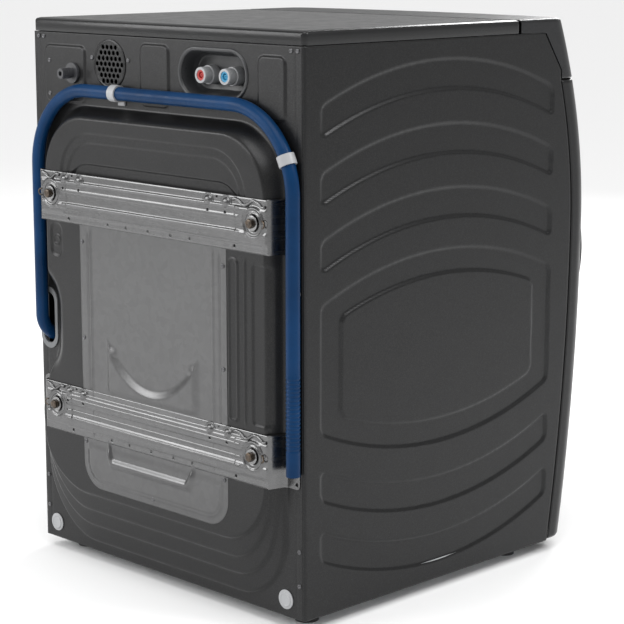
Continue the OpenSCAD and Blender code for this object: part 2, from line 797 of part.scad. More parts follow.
// Belt around both pulleys: an arc on each, joined by the two straight runs
module belt_loop(grow) {
    big = pulley_r + grow;
    small = motor_pulley_r + grow;
    span = drum_z - motor_z;
    lean = asin((big - small) / span);
    wrap = 180 + 2 * lean;
    polygon(concat(
        [for (i = [0:48]) let (a = -lean + i * wrap / 48)
            [big * cos(a), drum_z + big * sin(a)]],
        [for (i = [0:16]) let (a = 180 + lean + i * (360 - wrap) / 16)
            [small * cos(a), motor_z + small * sin(a)]]));
}
module drive_belt() {
    color(BLACK) place() along_y(pulley_y[0] + 3, pulley_y[1] - 3) difference() {
        belt_loop(3.5);
        belt_loop(0.4);
    }
}
module drive_motor() {
    y = [-190, -48];
    color(DARK) place() difference() {
        union() {
            rod_y(0, motor_z, 62, y[0], y[1]);
            block([-70, 70], [-150, -90], [motor_z + 40, motor_z + 70]);
            for (s = [-1, 1]) block([s * 62 - 20, s * 62 + 20], [-170, -70], [motor_z - 80, motor_z - 30]);
        }
        rod_y(0, motor_z, 6 + running, -120, 10);
    }
}
module motor_pulley() {
    color(SILVER) place() union() {
        rod_y(0, motor_z, motor_pulley_r, pulley_y[0], pulley_y[1]);
        rod_y(0, motor_z, 6, -110, pulley_y[0] + 1);
        for (y = [pulley_y[0] - 2, pulley_y[1]]) rod_y(0, motor_z, motor_pulley_r + 3, y, y + 2);
    }
}

spring_x = 326;
spring_y = [-500, -270];
module tub_springs() {
    wire = 2;
    coil = 11;
    z = [690, 900];
    body = [724, 862];
    pitch = 4.6;
    color(SILVER) place() for (x = [-spring_x, spring_x], y = spring_y) translate([x, y, 0]) {
        translate([0, 0, body[0]]) cylinder(r = coil, h = body[1] - body[0]);
        for (bz = [body[0]:pitch:body[1] - pitch])
            translate([0, 0, bz]) cylinder(r = coil + wire, h = wire + 0.6);
        translate([0, 0, z[0]]) cylinder(r = wire, h = z[1] - z[0]);
    }
}
module tub_dampers() {
    color(DARK) place() for (s = [-1, 1], y = spring_y) translate([s * 235, y, 40]) rotate([0, -s * 22, 0]) {
        cylinder(r = 15, h = 120);
        translate([0, 0, 119]) cylinder(r = 7, h = 84);
        rotate([90, 0, 0]) translate([0, 0, -8]) cylinder(r = 11, h = 16);
    }
}

// ---- Air, heat and water ----

blower_at = [-20, 895];
module air_duct() {
    x = [-90, 60];
    y = [-430, -330];
    z = [836, 952];
    t = 2.5;
    color(SILVER) place() difference() {
        union() {
            block(x, y, z);
            block([blower_at[0] - 68, blower_at[0] + 68], [-331, -235], z);
        }
        block([x[0] + t, x[1] - t], [y[0] + t, y[1] - t], [z[0] + t, z[1] - t]);
        rod_y(blower_at[0], blower_at[1], 52, -332, -235 - t);
        rod_y(blower_at[0], blower_at[1], 9, -240, -230);
        rod_x(-280, blower_at[1], 32, 40, 60);
    }
}
module heat_exchanger() {
    x = [62, 296];
    z = [852, 948];
    y = [-430, -160];
    t = 2;
    fins = 18;
    color(SILVER) place() union() {
        difference() {
            block(x, y, z);
            block([x[0] - 1, x[1] - t], [y[0] + t, y[1] - t], [z[0] + t, z[1] - t]);
        }
        for (i = [1:fins]) let (fy = y[0] + 10 + i * (y[1] - y[0] - 20) / (fins + 1))
            block([x[0] + 20, x[1] - t / 2], [fy, fy + 1.2], [z[0] + 1, z[1] - 1]);
    }
}
module blower_wheel() {
    blades = 18;
    color(BLACK) place() {
        rod_y(blower_at[0], blower_at[1], 4, -262, -215);
        tube_y(blower_at[0], blower_at[1], 46, 3.9, -250, -247);
        for (a = [0:360 / blades:359]) translate([blower_at[0], 0, blower_at[1]]) rotate([0, a, 0])
            block([34, 45], [-300, -246.9], [-1, 1]);
        tube_y(blower_at[0], blower_at[1], 46, 33, -302, -299.9);
    }
}
module blower_motor() {
    color(SILVER) place() difference() {
        union() {
            rod_y(blower_at[0], blower_at[1], 34, -234.5, -170);
            rod_y(blower_at[0], blower_at[1], 12, -170.01, -160);
        }
        rod_y(blower_at[0], blower_at[1], 4 + running, -236, -212);
    }
}
pump_at = [240, 82];
module drain_pump() {
    y = [-672, -560];
    color(BLACK) place() difference() {
        union() {
            rod_y(pump_at[0], pump_at[1], 38, y[0], -620);
            rod_y(pump_at[0], pump_at[1], 30, -621, y[1]);
            rod_z(pump_at[0] - 20, -640, 12, pump_at[1] + 20, pump_at[1] + 60);
            block([pump_at[0] - 30, pump_at[0] + 30], [-650, -580], [16, pump_at[1] - 20]);
        }
        rod_y(pump_at[0], pump_at[1], 33, y[0] - 1, -625);
    }
}
module pump_filter() {
    color(PALE) place() difference() {
        union() {
            rod_y(pump_at[0], pump_at[1], 36, -682, -673);
            rod_y(pump_at[0], pump_at[1], 30, -674, -630);
            block([pump_at[0] - 28, pump_at[0] + 28], [-700, -681], [pump_at[1] - 3, pump_at[1] + 3]);
        }
        tube_y(pump_at[0], pump_at[1], 26, 8, -666, -629);
    }
}
module filter_cover() {
    color(DARK) place() front_piece(filter_x, filter_z, 3);
}

// Controller in its tray, with capacitors, relays and sockets
module main_board() {
    x = [90, 320];
    y = [-640, -480];
    z = 880;
    color([0.15, 0.35, 0.22]) place() union() {
        block(x, y, [z, z + 2]);
        for (bx = [x[0], x[1] - 3]) block([bx, bx + 3], y, [z - 6, z + 20]);
        for (i = [0:3]) rod_z(x[0] + 35 + i * 30, y[0] + 40, 9, z + 1.9, z + 28);
        for (i = [0:4])
            block([x[0] + 25 + i * 38, x[0] + 48 + i * 38], [y[1] - 40, y[1] - 22], [z + 1.9, z + 18]);
        block([x[1] - 80, x[1] - 30], [y[0] + 30, y[0] + 70], [z + 1.9, z + 24]);
    }
}

// Moulded cup in the rear panel, with a stepped floor around each inlet
module inlet_recess() {
    t = 2;
    color(DARK) place() difference() {
        union() {
            along_y(-recess_d - t, -sheet) recess_outline(-4);
            along_y(0, 1.5) recess_outline(5);
            along_y(-sheet, 0.1) recess_outline(-3.2);
        }
        along_y(-recess_d, 5) recess_outline(-4 - t);
        for (x = [hot_x, cold_x]) rod_y(x, inlet_z, inlet_r + 3, -50, 0);
    }
}

// Solenoid valve: threaded inlet, hex body, coil and outlet
module inlet_valve() {
    thread = 17;
    body_y = -recess_d - 2;
    difference() {
        union() {
            rod_y(0, 0, inlet_r, -thread, 0);
            rod_y(0, 0, inlet_r + 2.6, -thread - 4, -thread + 0.01);
            rod_y(0, 0, inlet_r - 1, body_y - 8, -thread);
            rod_y(0, 0, 18, body_y - 12, body_y);
            block([-15, 15], [body_y - 50, body_y - 11], [-14, 14]);
            block([-13, 13], [body_y - 46, body_y - 16], [13.9, 38]);
            rod_y(0, -4, 7, body_y - 72, body_y - 49);
        }
        rod_y(0, 0, inlet_r - 4, -12, 1);
    }
}
module inlet_valve_hot() { color([0.75, 0.12, 0.10]) place() translate([hot_x, 0, inlet_z]) inlet_valve(); }
module inlet_valve_cold() { color([0.10, 0.45, 0.75]) place() translate([cold_x, 0, inlet_z]) inlet_valve(); }

// ---- Back ----

// Drain hose: up the right edge, over the bulge, down the left edge and into its port
hose_y = 14.5;
hose_right_x = -343;
hose_left_x = 332;
hose_top_z = 862;
hose_bend = 144;
hose_end_z = 254;
rib_z = [296, 422];
dive_z = 437;
dive_r = 45;
module hose_arc(x, from, r) {
    translate([x, hose_y, hose_top_z - hose_bend]) rotate([90, 0, 0]) rotate(from)
        rotate_extrude(angle = 90) translate([hose_bend, 0]) circle(r);
}
module drain_hose() {
    bend_z = hose_top_z - hose_bend;
    color(BLUE) place() difference() {
        union() {
            rod_z(hose_right_x, hose_y, hose_r, hose_end_z, bend_z);
            for (z = [rib_z[0]:7:rib_z[1]]) rod_z(hose_right_x, hose_y, hose_r + 0.4, z, z + 4);
            hose_arc(hose_right_x + hose_bend, 90, hose_r);
            translate([0, hose_y, hose_top_z]) rotate([0, 90, 0])
                translate([0, 0, hose_right_x + hose_bend])
                cylinder(r = hose_r, h = hose_left_x - hose_right_x - 2 * hose_bend);
            hose_arc(hose_left_x - hose_bend, 0, hose_r);
            rod_z(hose_left_x, hose_y, hose_r, dive_z, bend_z);
            translate([hose_left_x, hose_y, dive_z]) {
                rotate([90, 0, -90]) translate([dive_r, 0, 0]) rotate(180)
                    rotate_extrude(angle = 90) translate([dive_r, 0]) circle(hose_r);
                translate([0, -dive_r, -dive_r]) rotate([90, 0, 0]) cylinder(r = hose_r, h = 60);
            }
        }
        rod_z(hose_right_x, hose_y, hose_r - 2.5, hose_end_z - 1, hose_end_z + 36);
    }
}

// Saddles that hold the hose against the rear panel
module clip(r_in) {
    r_out = r_in + 3;
    w = 9;
    difference() {
        union() {
            rotate([0, 90, 0]) translate([0, 0, -w]) cylinder(r = r_out, h = 2 * w);
            block([-w, w], [-hose_y, 0], [-r_out, 0]);
            block([-w, w], [-hose_y, -hose_y + 3], [-r_out - 7, -r_out + 1]);
        }
        block([-w - 1, w + 1], [-hose_y - 10, -hose_y], [-r_out - 1, r_out + 1]);
        rotate([0, 90, 0]) translate([0, 0, -w - 1]) cylinder(r = r_in, h = 2 * w + 2);
    }
}
module hose_clips() {
    bend = [hose_right_x + hose_bend, hose_top_z - hose_bend];
    tilt = 65;
    color(PALE) place() {
        translate([102, hose_y, hose_top_z]) clip(hose_r);
        translate([bend[0] - hose_bend * sin(tilt), hose_y, bend[1] + hose_bend * cos(tilt)])
            rotate([0, -tilt, 0]) clip(hose_r + 0.4);
    }
}

// Grommet in the port, holding the hose where it dives inside
module hose_grommet() {
    color(PALE) place() difference() {
        union() {
            along_y(-sheet - 2, -sheet) port_outline(4);
            along_y(-sheet - 0.01, 0.01) port_outline(-0.1);
            along_y(0, 2) port_outline(4);
        }
        along_y(-10, 10) rounded([port_x[0] + 3.5, port_x[1] - 3.5], [port_z[0] + 6, port_z[1] - 6], 17.4);
    }
}

module power_gland() {
    color(BLACK) place() translate([gland_at[0], rib_proud, gland_at[1]]) difference() {
        union() {
            rod_y(0, 0, 18.5, 0, 5);
            rod_y(0, 0, 10.5, -12, 0.01);
            rod_y(0, 0, 13, -16, -sheet);
            rod_y(0, 0, 9, 4.9, 30);
            for (y = [10:5:25]) rod_y(0, 0, 10, y, y + 2.5);
        }
        rod_y(0, 0, 4.5, -17, 31);
    }
}

// Round plate with holes on a triangular grid
module vent_grille() {
    pitch = 11.5;
    hole_r = 3.9;
    rows = 4;
    rise = pitch * sin(60);
    color(DARK) place() difference() {
        rod_y(vent_at[0], vent_at[1], vent_r, 0, 1.5);
        along_y(-1, 3) translate(vent_at) for (j = [-rows:rows], i = [-rows - 2:rows + 2])
            let (x = (i + (j % 2 == 0 ? 0 : 0.5)) * pitch, z = j * rise)
            if (norm([x, z]) < vent_r - hole_r - 4) translate([x, z]) circle(hole_r, $fn = 24);
    }
}

// Channel-section brace across the bulge, with stepped flanges and a foot at each end
brace_proud = 6.5;
module brace_outline(w, height, t) {
    slope = 15;
    foot = 29;
    difference() {
        union() {
            polygon([[-w - slope, 0], [-w, height], [w, height], [w + slope, 0]]);
            translate([-w - slope - foot, 0]) square([2 * (w + slope + foot), t]);
        }
        polygon([[-w - slope + t + 0.6, -0.01], [-w + t, height - t],
            [w - t, height - t], [w + slope - t - 0.6, -0.01]]);
    }
}
module brace(z, bx) {
    t = 1.5;
    w = brace_w / 2;
    face = bulge + brace_proud;
    low = face - 2;
    bands = [[0, 15, low], [15, 34, face], [34, 58, face - 1.8], [58, 77, face], [77, brace_h, low]];
    bolt_z = z + bolt_dz;
    translate([0, 0, z]) difference() {
        union() {
            for (b = bands) along_z(b[0], b[1]) brace_outline(w, b[2], t);
            for (b = [15, 34, 58, 77]) along_z(b - 0.7, b + 0.7) brace_web(w - 1, [low - t, low]);
            for (s = [-1, 1]) rod_y(s * bx, bolt_dz, 24, face - t, face);
        }
        // slots beside the hooks, and the screw holes in the feet
        for (s = [-1, 1], x = [158, 203]) along_y(0, 60) translate([s * x, 70]) square([7, 10], center = true);
        for (s = [-1, 1]) rod_y(s * (w + 30), brace_h / 2, 3.2, -1, 5);
        for (s = [-1, 1]) {
            rod_y(s * bx, bolt_dz, 5.1, 0, 60);
            rod_y(s * bx, bolt_dz, 9.6, 0, face - t);
        }
    }
    // lanced hooks along the upper flange
    for (s = [-1, 1], x = [158, 180, 203]) translate([s * x, low - 0.5, z + 84]) rotate([0, 90, 0])
        rotate_extrude(angle = 180, $fn = 40) translate([6, 0]) square([1.6, 6], center = true);
    // raised ring round each bolt
    for (s = [-1, 1]) tube_y(s * bx, bolt_z, 25, 21, face - t, face + 1.6);
}
module brace_web(w, y) {
    translate([-w, y[0]]) square([2 * w, y[1] - y[0]]);
}
module brace_lower() { color(SILVER) place() brace(brace_z[0], bolt_x[0]); }
module brace_upper() { color(SILVER) place() brace(brace_z[1], bolt_x[1]); }

// Bolts through the braces into the tub, each with a washer and a spacer sleeve
module transit_bolts() {
    face = bulge + brace_proud;
    color(SILVER) place() for (i = [0, 1], s = [-1, 1]) {
        x = s * bolt_x[i];
        z = brace_z[i] + bolt_dz;
        rod_y(x, z, 5, tub_back - 6, face + 3);
        tube_y(x, z, 9.5, 4.9, tub_back, face - 1.5);
        rod_y(x, z, 12, face, face + 2.5);
        along_y(face + 2.4, bolt_proud) translate([x, z]) circle(7.5, $fn = 6);
    }
}

// Screws: heads on the surface and shanks through it
rear_screw_at = concat(
    [for (x = [-340, -325, 325, 340]) [x, 954]],
    [[185, 921], [84, 920]],
    [for (x = [-343, 343], z = [60, 120, 560]) [x, z]]);
rib_screw_at = [[306, 911], [306, 851]];
access_screw_at = [for (x = [-191, 186], z = [221, 415, 592]) [x, z]];
module screw_holes() {
    for (p = concat(rear_screw_at, rib_screw_at)) rod_y(p[0], p[1], 1.9, -12, 4);
    for (p = access_screw_at) rod_y(p[0], p[1], 1.9, bulge - 10, bulge + 6);
}
module screw(x, z, y) {
    rod_y(x, z, 1.8, y - 9, y + 0.5);
    rod_y(x, z, 4.2, y, y + 1.2);
    rod_y(x, z, 3.4, y + 1.1, y + 2.2);
}
module panel_screws() {
    color(SILVER) place() {
        for (p = rear_screw_at) screw(p[0], p[1], 0);
        for (p = rib_screw_at) screw(p[0], p[1], rib_proud);
        for (p = access_screw_at) screw(p[0], p[1], bulge + 1.2);
    }
}

module hole_caps() {
    color(PALE) place() for (c = cap_at) {
        rod_y(c[0], c[1], 17, 0, 2.5);
        rod_y(c[0], c[1], 13, 2.4, 4.2);
        tube_y(c[0], c[1], 11.8, 9, -9, 0.01);
    }
}

// ---- Feet ----

foot_at = [[-300, -585], [300, -585], [-300, -60], [300, -60]];
foot_boss_r = 14;
foot_stem_r = 6;
module foot(at) {
    color(BLACK) place() translate([at[0], at[1], 0]) union() {
        translate([0, 0, -foot_h]) cylinder(r = 21, h = 7);
        translate([0, 0, -foot_h + 6.9]) cylinder(r = 16, h = 5);
        translate([0, 0, -foot_h + 11.8]) cylinder(r = foot_stem_r, h = foot_h + 28);
        translate([0, 0, -8]) cylinder(r = 10, h = 6, $fn = 6);
    }
}
module foot_front_left() { foot(foot_at[0]); }
module foot_front_right() { foot(foot_at[1]); }
module foot_rear_left() { foot(foot_at[2]); }
module foot_rear_right() { foot(foot_at[3]); }

base_frame();
side_panel_left();
side_panel_right();
rear_panel();
access_panel();
top_panel();
front_panel();
control_panel();
display_window();
control_knob();
power_button();
start_button();
dispenser_housing();
detergent_drawer();
door_frame();
door_cover();
door_glass();
door_hinge();
hinge_pin();
door_hook();
door_lock();
door_gasket();
tub_front();
tub_rear();
counterweights();
drum();
drum_lifters();
drum_spider();
shaft_bearings();
drum_pulley();
drive_belt();
drive_motor();
motor_pulley();
tub_springs();
tub_dampers();
air_duct();
heat_exchanger();
blower_wheel();
blower_motor();
drain_pump();
pump_filter();
filter_cover();
main_board();
inlet_recess();
inlet_valve_hot();
inlet_valve_cold();
drain_hose();
hose_clips();
hose_grommet();
power_gland();
vent_grille();
brace_upper();
brace_lower();
transit_bolts();
panel_screws();
hole_caps();
foot_front_left();
foot_front_right();
foot_rear_left();
foot_rear_right();
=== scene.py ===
"""Looks of the washer dryer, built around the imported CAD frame.

Sizes are in millimetres in the cabinet's own frame (Y = 0 on the back plane, Z = 0 on the underside,
front towards -Y), and add_mesh() turns them into metres in the shared frame. Names ending in _Z, _X or _R
are heights, places across and radii.
"""

import math

import bmesh
import bpy
import numpy as np
from mathutils import Matrix, Vector


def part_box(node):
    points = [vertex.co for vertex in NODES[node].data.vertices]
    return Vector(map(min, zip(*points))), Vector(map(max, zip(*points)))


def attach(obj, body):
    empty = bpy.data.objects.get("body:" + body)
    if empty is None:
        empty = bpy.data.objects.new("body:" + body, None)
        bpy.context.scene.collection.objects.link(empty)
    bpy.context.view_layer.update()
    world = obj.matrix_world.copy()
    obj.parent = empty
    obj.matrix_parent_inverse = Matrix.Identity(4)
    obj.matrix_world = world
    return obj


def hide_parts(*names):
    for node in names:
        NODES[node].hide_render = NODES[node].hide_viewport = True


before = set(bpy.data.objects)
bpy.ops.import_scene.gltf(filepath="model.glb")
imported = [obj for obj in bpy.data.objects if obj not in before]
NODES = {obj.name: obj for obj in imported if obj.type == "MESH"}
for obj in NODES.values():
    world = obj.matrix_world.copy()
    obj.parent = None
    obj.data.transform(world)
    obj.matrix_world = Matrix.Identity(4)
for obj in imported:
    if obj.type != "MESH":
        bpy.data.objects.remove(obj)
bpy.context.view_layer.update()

MM = 0.001
TOP_LOW, TOP_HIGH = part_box("top_panel")
SIDE_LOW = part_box("side_panel_left")[0]
ORIGIN = np.array([0.0, TOP_HIGH.y, SIDE_LOW.z])
HALF_W = TOP_HIGH.x / MM
CABINET_H = (TOP_HIGH.z - SIDE_LOW.z) / MM
TOP_SEAM = (TOP_LOW.z - SIDE_LOW.z) / MM
DOOR_FRONT = (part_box("door_frame")[0].y - ORIGIN[1]) / MM
DRUM_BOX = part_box("drum")
DRUM_Z = ((DRUM_BOX[0].z + DRUM_BOX[1].z) / 2 - ORIGIN[2]) / MM


# ---- Camera, light and floor ----

CAMERA_AZIMUTH = 225.25
CAMERA_ELEVATION = 10.96
CAMERA_AT = (-2.608, ORIGIN[1] + 2.216, 1.167)
FLOOR_SIZE = 400.0
SKY_STRENGTH = 0.42
SUN_POWER = 1.8
SUN_SPREAD = 50
SUN_WAY = (0.30, -0.25, -1.0)
# name, place, target, side and power of each soft lamp, in metres and watts
LAMPS = (
    ("key", (0.9, 3.6, 2.7), (0, 0.3, 0.5), 1.1, 30),
    ("side", (-3.0, -0.9, 3.1), (-0.3, 0, 0.4), 1.0, 52),
    ("edge", (2.9, 3.3, 1.9), (0, 0.4, 0.5), 1.9, 66),
    ("front", (1.4, -3.6, 2.6), (0, -0.3, 0.5), 1.6, 70))

def build_stage():
    """Camera at the photograph's viewing angle, a pale floor and soft light."""
    azimuth, elevation = math.radians(CAMERA_AZIMUTH), math.radians(CAMERA_ELEVATION)
    level = math.cos(elevation)
    back = Vector((math.sin(azimuth) * level, -math.cos(azimuth) * level, math.sin(elevation)))
    right = Vector((math.cos(azimuth), math.sin(azimuth), 0.0))
    up = back.cross(right)
    data = bpy.data.cameras.new("camera")
    data.sensor_width = 36.0
    data.lens = 113.8
    cam = bpy.data.objects.new("camera", data)
    turn = Matrix((right, up, back)).transposed().to_4x4()
    cam.matrix_world = Matrix.Translation(CAMERA_AT) @ turn
    bpy.context.scene.collection.objects.link(cam)
    bpy.context.scene.camera = cam

    world = bpy.data.worlds.new("studio")
    world.use_nodes = True
    sky = world.node_tree.nodes["Background"]
    sky.inputs["Color"].default_value = (1.0, 1.0, 1.0, 1.0)
    sky.inputs["Strength"].default_value = SKY_STRENGTH
    bpy.context.scene.world = world
    bpy.context.scene.view_settings.view_transform = "Standard"

    bpy.ops.mesh.primitive_plane_add(size=FLOOR_SIZE)
    floor = bpy.context.object
    floor.name = "floor"
    floor.data.materials.append(plain("floor_pale", (0.94, 0.94, 0.94), rough=0.95))

    sun = bpy.data.lights.new("sky_panel", "SUN")
    sun.energy = SUN_POWER
    sun.angle = math.radians(SUN_SPREAD)
    lamp = bpy.data.objects.new("sky_panel", sun)
    lamp.rotation_euler = Vector(SUN_WAY).to_track_quat("-Z", "Y").to_euler()
    bpy.context.scene.collection.objects.link(lamp)
    for lamp_row in LAMPS:
        area_light(*lamp_row)


def area_light(name, at, to, size, power):
    """Square soft lamp at one place, turned to another."""
    data = bpy.data.lights.new(name, "AREA")
    data.size = size
    data.energy = power
    lamp = bpy.data.objects.new(name, data)
    way = Vector(to) - Vector(at)
    lamp.rotation_euler = way.to_track_quat("-Z", "Y").to_euler()
    lamp.location = at
    bpy.context.scene.collection.objects.link(lamp)


# ---- Materials ----

def new_material(name):
    """Material, its node tree and its shader."""
    mat = bpy.data.materials.new(name)
    mat.use_nodes = True
    tree = mat.node_tree
    return mat, tree, tree.nodes["Principled BSDF"]


def plain(name, color, rough):
    """Material of one even colour."""
    mat, _, shader = new_material(name)
    shader.inputs["Base Color"].default_value = (*color, 1.0)
    shader.inputs["Roughness"].default_value = rough
    return mat


def texture_coords(tree, scale=(1, 1, 1)):
    coord = tree.nodes.new("ShaderNodeTexCoord")
    mapping = tree.nodes.new("ShaderNodeMapping")
    mapping.inputs["Scale"].default_value = scale
    tree.links.new(coord.outputs["Object"], mapping.inputs["Vector"])
    return mapping.outputs["Vector"]


def ramp(tree, fac, stops):
    """Colours at places 0 to 1, blended by a value."""
    node = tree.nodes.new("ShaderNodeValToRGB")
    while len(node.color_ramp.elements) < len(stops):
        node.color_ramp.elements.new(0.5)
    for element, (pos, color) in zip(node.color_ramp.elements, stops):
        element.position = pos
        element.color = (*color, 1.0)
    tree.links.new(fac, node.inputs["Fac"])
    return node.outputs["Color"]


def noise(tree, vector, scale, detail, rough=0.55):
    node = tree.nodes.new("ShaderNodeTexNoise")
    node.inputs["Scale"].default_value = scale
    node.inputs["Detail"].default_value = detail
    node.inputs["Roughness"].default_value = rough
    tree.links.new(vector, node.inputs["Vector"])
    return node.outputs["Fac"]


def bump(tree, shader, height, strength, distance, chain=None):
    """Fine relief on a shader's normal, laid over an earlier one if chain gives it."""
    node = tree.nodes.new("ShaderNodeBump")
    node.inputs["Strength"].default_value = strength
    node.inputs["Distance"].default_value = distance
    tree.links.new(height, node.inputs["Height"])
    if chain is not None:
        tree.links.new(chain, node.inputs["Normal"])
    tree.links.new(node.outputs["Normal"], shader.inputs["Normal"])
    return node.outputs["Normal"]


def grey(v):
    return (v, v, v)


def tint(color, factor):
    return tuple(min(1.0, c * factor) for c in color)


def surface(name, color, rough, metal, grain, grain_depth=0.00006, vary=0.16, cloud=7.0,
            rough_spread=0.12, stretch=(1, 1, 1), coat=0.0, second=None, specular=0.5):
    """Painted, moulded or brushed finish: cloudy colour, uneven gloss and a fine surface grain."""
    mat, tree, shader = new_material(name)
    vector = texture_coords(tree, stretch)
    clouds = noise(tree, vector, cloud, 5.0)
    color_out = ramp(tree, clouds, [(0.3, tint(color, 1 - vary)), (0.7, tint(second or color, 1 + vary))])
    tree.links.new(color_out, shader.inputs["Base Color"])
    fine = noise(tree, vector, grain, 2.0)
    gloss = noise(tree, vector, cloud * 6, 6.0, 0.65)
    low = max(0.03, rough - rough_spread)
    rough_out = ramp(tree, gloss, [(0.3, grey(low)), (0.72, grey(min(1.0, rough + rough_spread)))])
    tree.links.new(rough_out, shader.inputs["Roughness"])
    shader.inputs["Metallic"].default_value = metal
    shader.inputs["Specular IOR Level"].default_value = specular
    if coat:
        shader.inputs["Coat Weight"].default_value = coat
        shader.inputs["Coat Roughness"].default_value = 0.12
    bump(tree, shader, fine, 0.5, grain_depth)
    return mat


def cabinet_paint(name, color):
    """Dark powder coat with metal flake: grain in the colour, the gloss and the surface."""
    mat, tree, shader = new_material(name)
    vector = texture_coords(tree)
    flake = noise(tree, vector, 620.0, 2.0, 0.7)
    color_out = ramp(tree, flake, [(0.34, tint(color, 0.62)), (0.56, color), (0.74, tint(color, 1.75))])
    tree.links.new(color_out, shader.inputs["Base Color"])
    rough_out = ramp(tree, noise(tree, vector, 26.0, 6.0), [(0.3, grey(0.30)), (0.7, grey(0.38))])
    tree.links.new(rough_out, shader.inputs["Roughness"])
    shader.inputs["Metallic"].default_value = 0.6
    first = bump(tree, shader, noise(tree, vector, 480.0, 3.0), 0.22, 0.00012)
    bump(tree, shader, noise(tree, vector, 40.0, 2.0), 0.06, 0.0004, chain=first)
    return mat


def galvanised(name, color, rough, spangle=90.0):
    """Zinc-coated steel: crystal spangle, rolling streaks and faint scratches."""
    mat, tree, shader = new_material(name)
    vector = texture_coords(tree)
    cells = tree.nodes.new("ShaderNodeTexVoronoi")
    cells.inputs["Scale"].default_value = spangle
    warp = tree.nodes.new("ShaderNodeVectorMath")
    warp.operation = "ADD"
    cloud = tree.nodes.new("ShaderNodeTexNoise")
    cloud.inputs["Scale"].default_value = 30.0
    tree.links.new(vector, cloud.inputs["Vector"])
    spread = tree.nodes.new("ShaderNodeVectorMath")
    spread.operation = "SCALE"
    spread.inputs["Scale"].default_value = 0.04
    tree.links.new(cloud.outputs["Color"], spread.inputs[0])
    tree.links.new(vector, warp.inputs[0])
    tree.links.new(spread.outputs["Vector"], warp.inputs[1])
    tree.links.new(warp.outputs["Vector"], cells.inputs["Vector"])
    split = tree.nodes.new("ShaderNodeSeparateColor")
    tree.links.new(cells.outputs["Color"], split.inputs["Color"])
    color_out = ramp(tree, split.outputs["Red"], [(0.0, tint(color, 0.95)), (1.0, tint(color, 1.04))])
    tree.links.new(color_out, shader.inputs["Base Color"])
    streaks = noise(tree, texture_coords(tree, (3, 3, 60)), 2.4, 3.0)
    rough_out = ramp(tree, streaks, [(0.25, grey(rough - 0.03)), (0.75, grey(rough + 0.05))])
    tree.links.new(rough_out, shader.inputs["Roughness"])
    shader.inputs["Metallic"].default_value = 1.0
    first = bump(tree, shader, streaks, 0.02, 0.0002)
    bump(tree, shader, noise(tree, vector, 300.0, 3.0), 0.06, 0.0001, chain=first)
    return mat


# ---- Mesh tools ----

def add_mesh(name, verts, faces, material, body="cabinet"):
    """Adds a mesh from points in the cabinet's frame in millimetres, riding on a CAD body."""
    mesh = bpy.data.meshes.new(name)
    points = np.asarray(verts, float) * MM + ORIGIN
    mesh.from_pydata([tuple(p) for p in points], [], [tuple(int(i) for i in f) for f in faces])
    mesh.validate()
    mesh.update()
    mesh.shade_smooth()
    obj = bpy.data.objects.new(name, mesh)
    bpy.context.scene.collection.objects.link(obj)
    mesh.materials.append(material)
    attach(obj, body)
    return obj


def smooth(a, b, x):
    """Eased step from 0 at a to 1 at b."""
    t = np.clip((np.asarray(x, float) - a) / (b - a), 0, 1)
    return t * t * (3 - 2 * t)


def sd_box(x, z, x0, x1, z0, z1, r):
    """Signed distance to a rectangle with round corners, negative inside."""
    hx, hz = (x1 - x0) / 2 - r, (z1 - z0) / 2 - r
    qx = np.abs(x - (x0 + x1) / 2) - hx
    qz = np.abs(z - (z0 + z1) / 2) - hz
    outside = np.hypot(np.maximum(qx, 0), np.maximum(qz, 0))
    return outside + np.minimum(np.maximum(qx, qz), 0) - r


def bead(d, width):
    """Raised line of unit height and round section where a distance is near 0."""
    return 1 - smooth(0, width, np.abs(d))


def relief(name, us, vs, height, place, material, cut=None, thickness=1.2, body="cabinet"):
    """Sheet on a grid of u and v. height(u, v) is in millimetres, place(u, v, h) gives the points, and
    cut(u, v) is negative inside holes, whose rims the grid is pulled onto."""
    u, v = np.meshgrid(us, vs, indexing="ij")
    if cut is not None:
        cell = min(np.diff(us).min(), np.diff(vs).min())
        e = 0.05
        for _ in range(3):
            d = cut(u, v)
            gu = (cut(u + e, v) - cut(u - e, v)) / (2 * e)
            gv = (cut(u, v + e) - cut(u, v - e)) / (2 * e)
            size = np.maximum(gu * gu + gv * gv, 1e-6)
            near = np.abs(d) < cell * 0.6
            u = np.where(near, u - d * gu / size, u)
            v = np.where(near, v - d * gv / size, v)
    h = height(u, v)
    points = place(u, v, h).reshape(-1, 3)
    n, m = u.shape
    index = np.arange(n * m).reshape(n, m)
    quads = np.stack([index[:-1, :-1], index[1:, :-1], index[1:, 1:], index[:-1, 1:]], -1).reshape(-1, 4)
    if cut is not None:
        cu = (u[:-1, :-1] + u[1:, :-1] + u[1:, 1:] + u[:-1, 1:]).reshape(-1) / 4
        cv = (v[:-1, :-1] + v[1:, :-1] + v[1:, 1:] + v[:-1, 1:]).reshape(-1) / 4
        quads = quads[cut(cu, cv) > 0]
    used = np.unique(quads)
    renumber = np.full(n * m, -1)
    renumber[used] = np.arange(len(used))
    obj = add_mesh(name, points[used], renumber[quads], material, body)
    if thickness:
        thicken(obj, thickness)
    return obj


def thicken(obj, thickness):
    """Gives a sheet its thickness behind its outer face, applied to the mesh."""
    mod = obj.modifiers.new("thickness", "SOLIDIFY")
    mod.thickness = abs(thickness) * MM
    mod.offset = -1.0 if thickness > 0 else 1.0
    apply_modifiers(obj)


def apply_modifiers(obj):
    graph = bpy.context.evaluated_depsgraph_get()
    mesh = bpy.data.meshes.new_from_object(obj.evaluated_get(graph))
    obj.modifiers.clear()
    obj.data = mesh


def grid(a, b, step):
    """Even stops from a to b, about step apart."""
    return np.linspace(a, b, max(2, int(round((b - a) / step)) + 1))


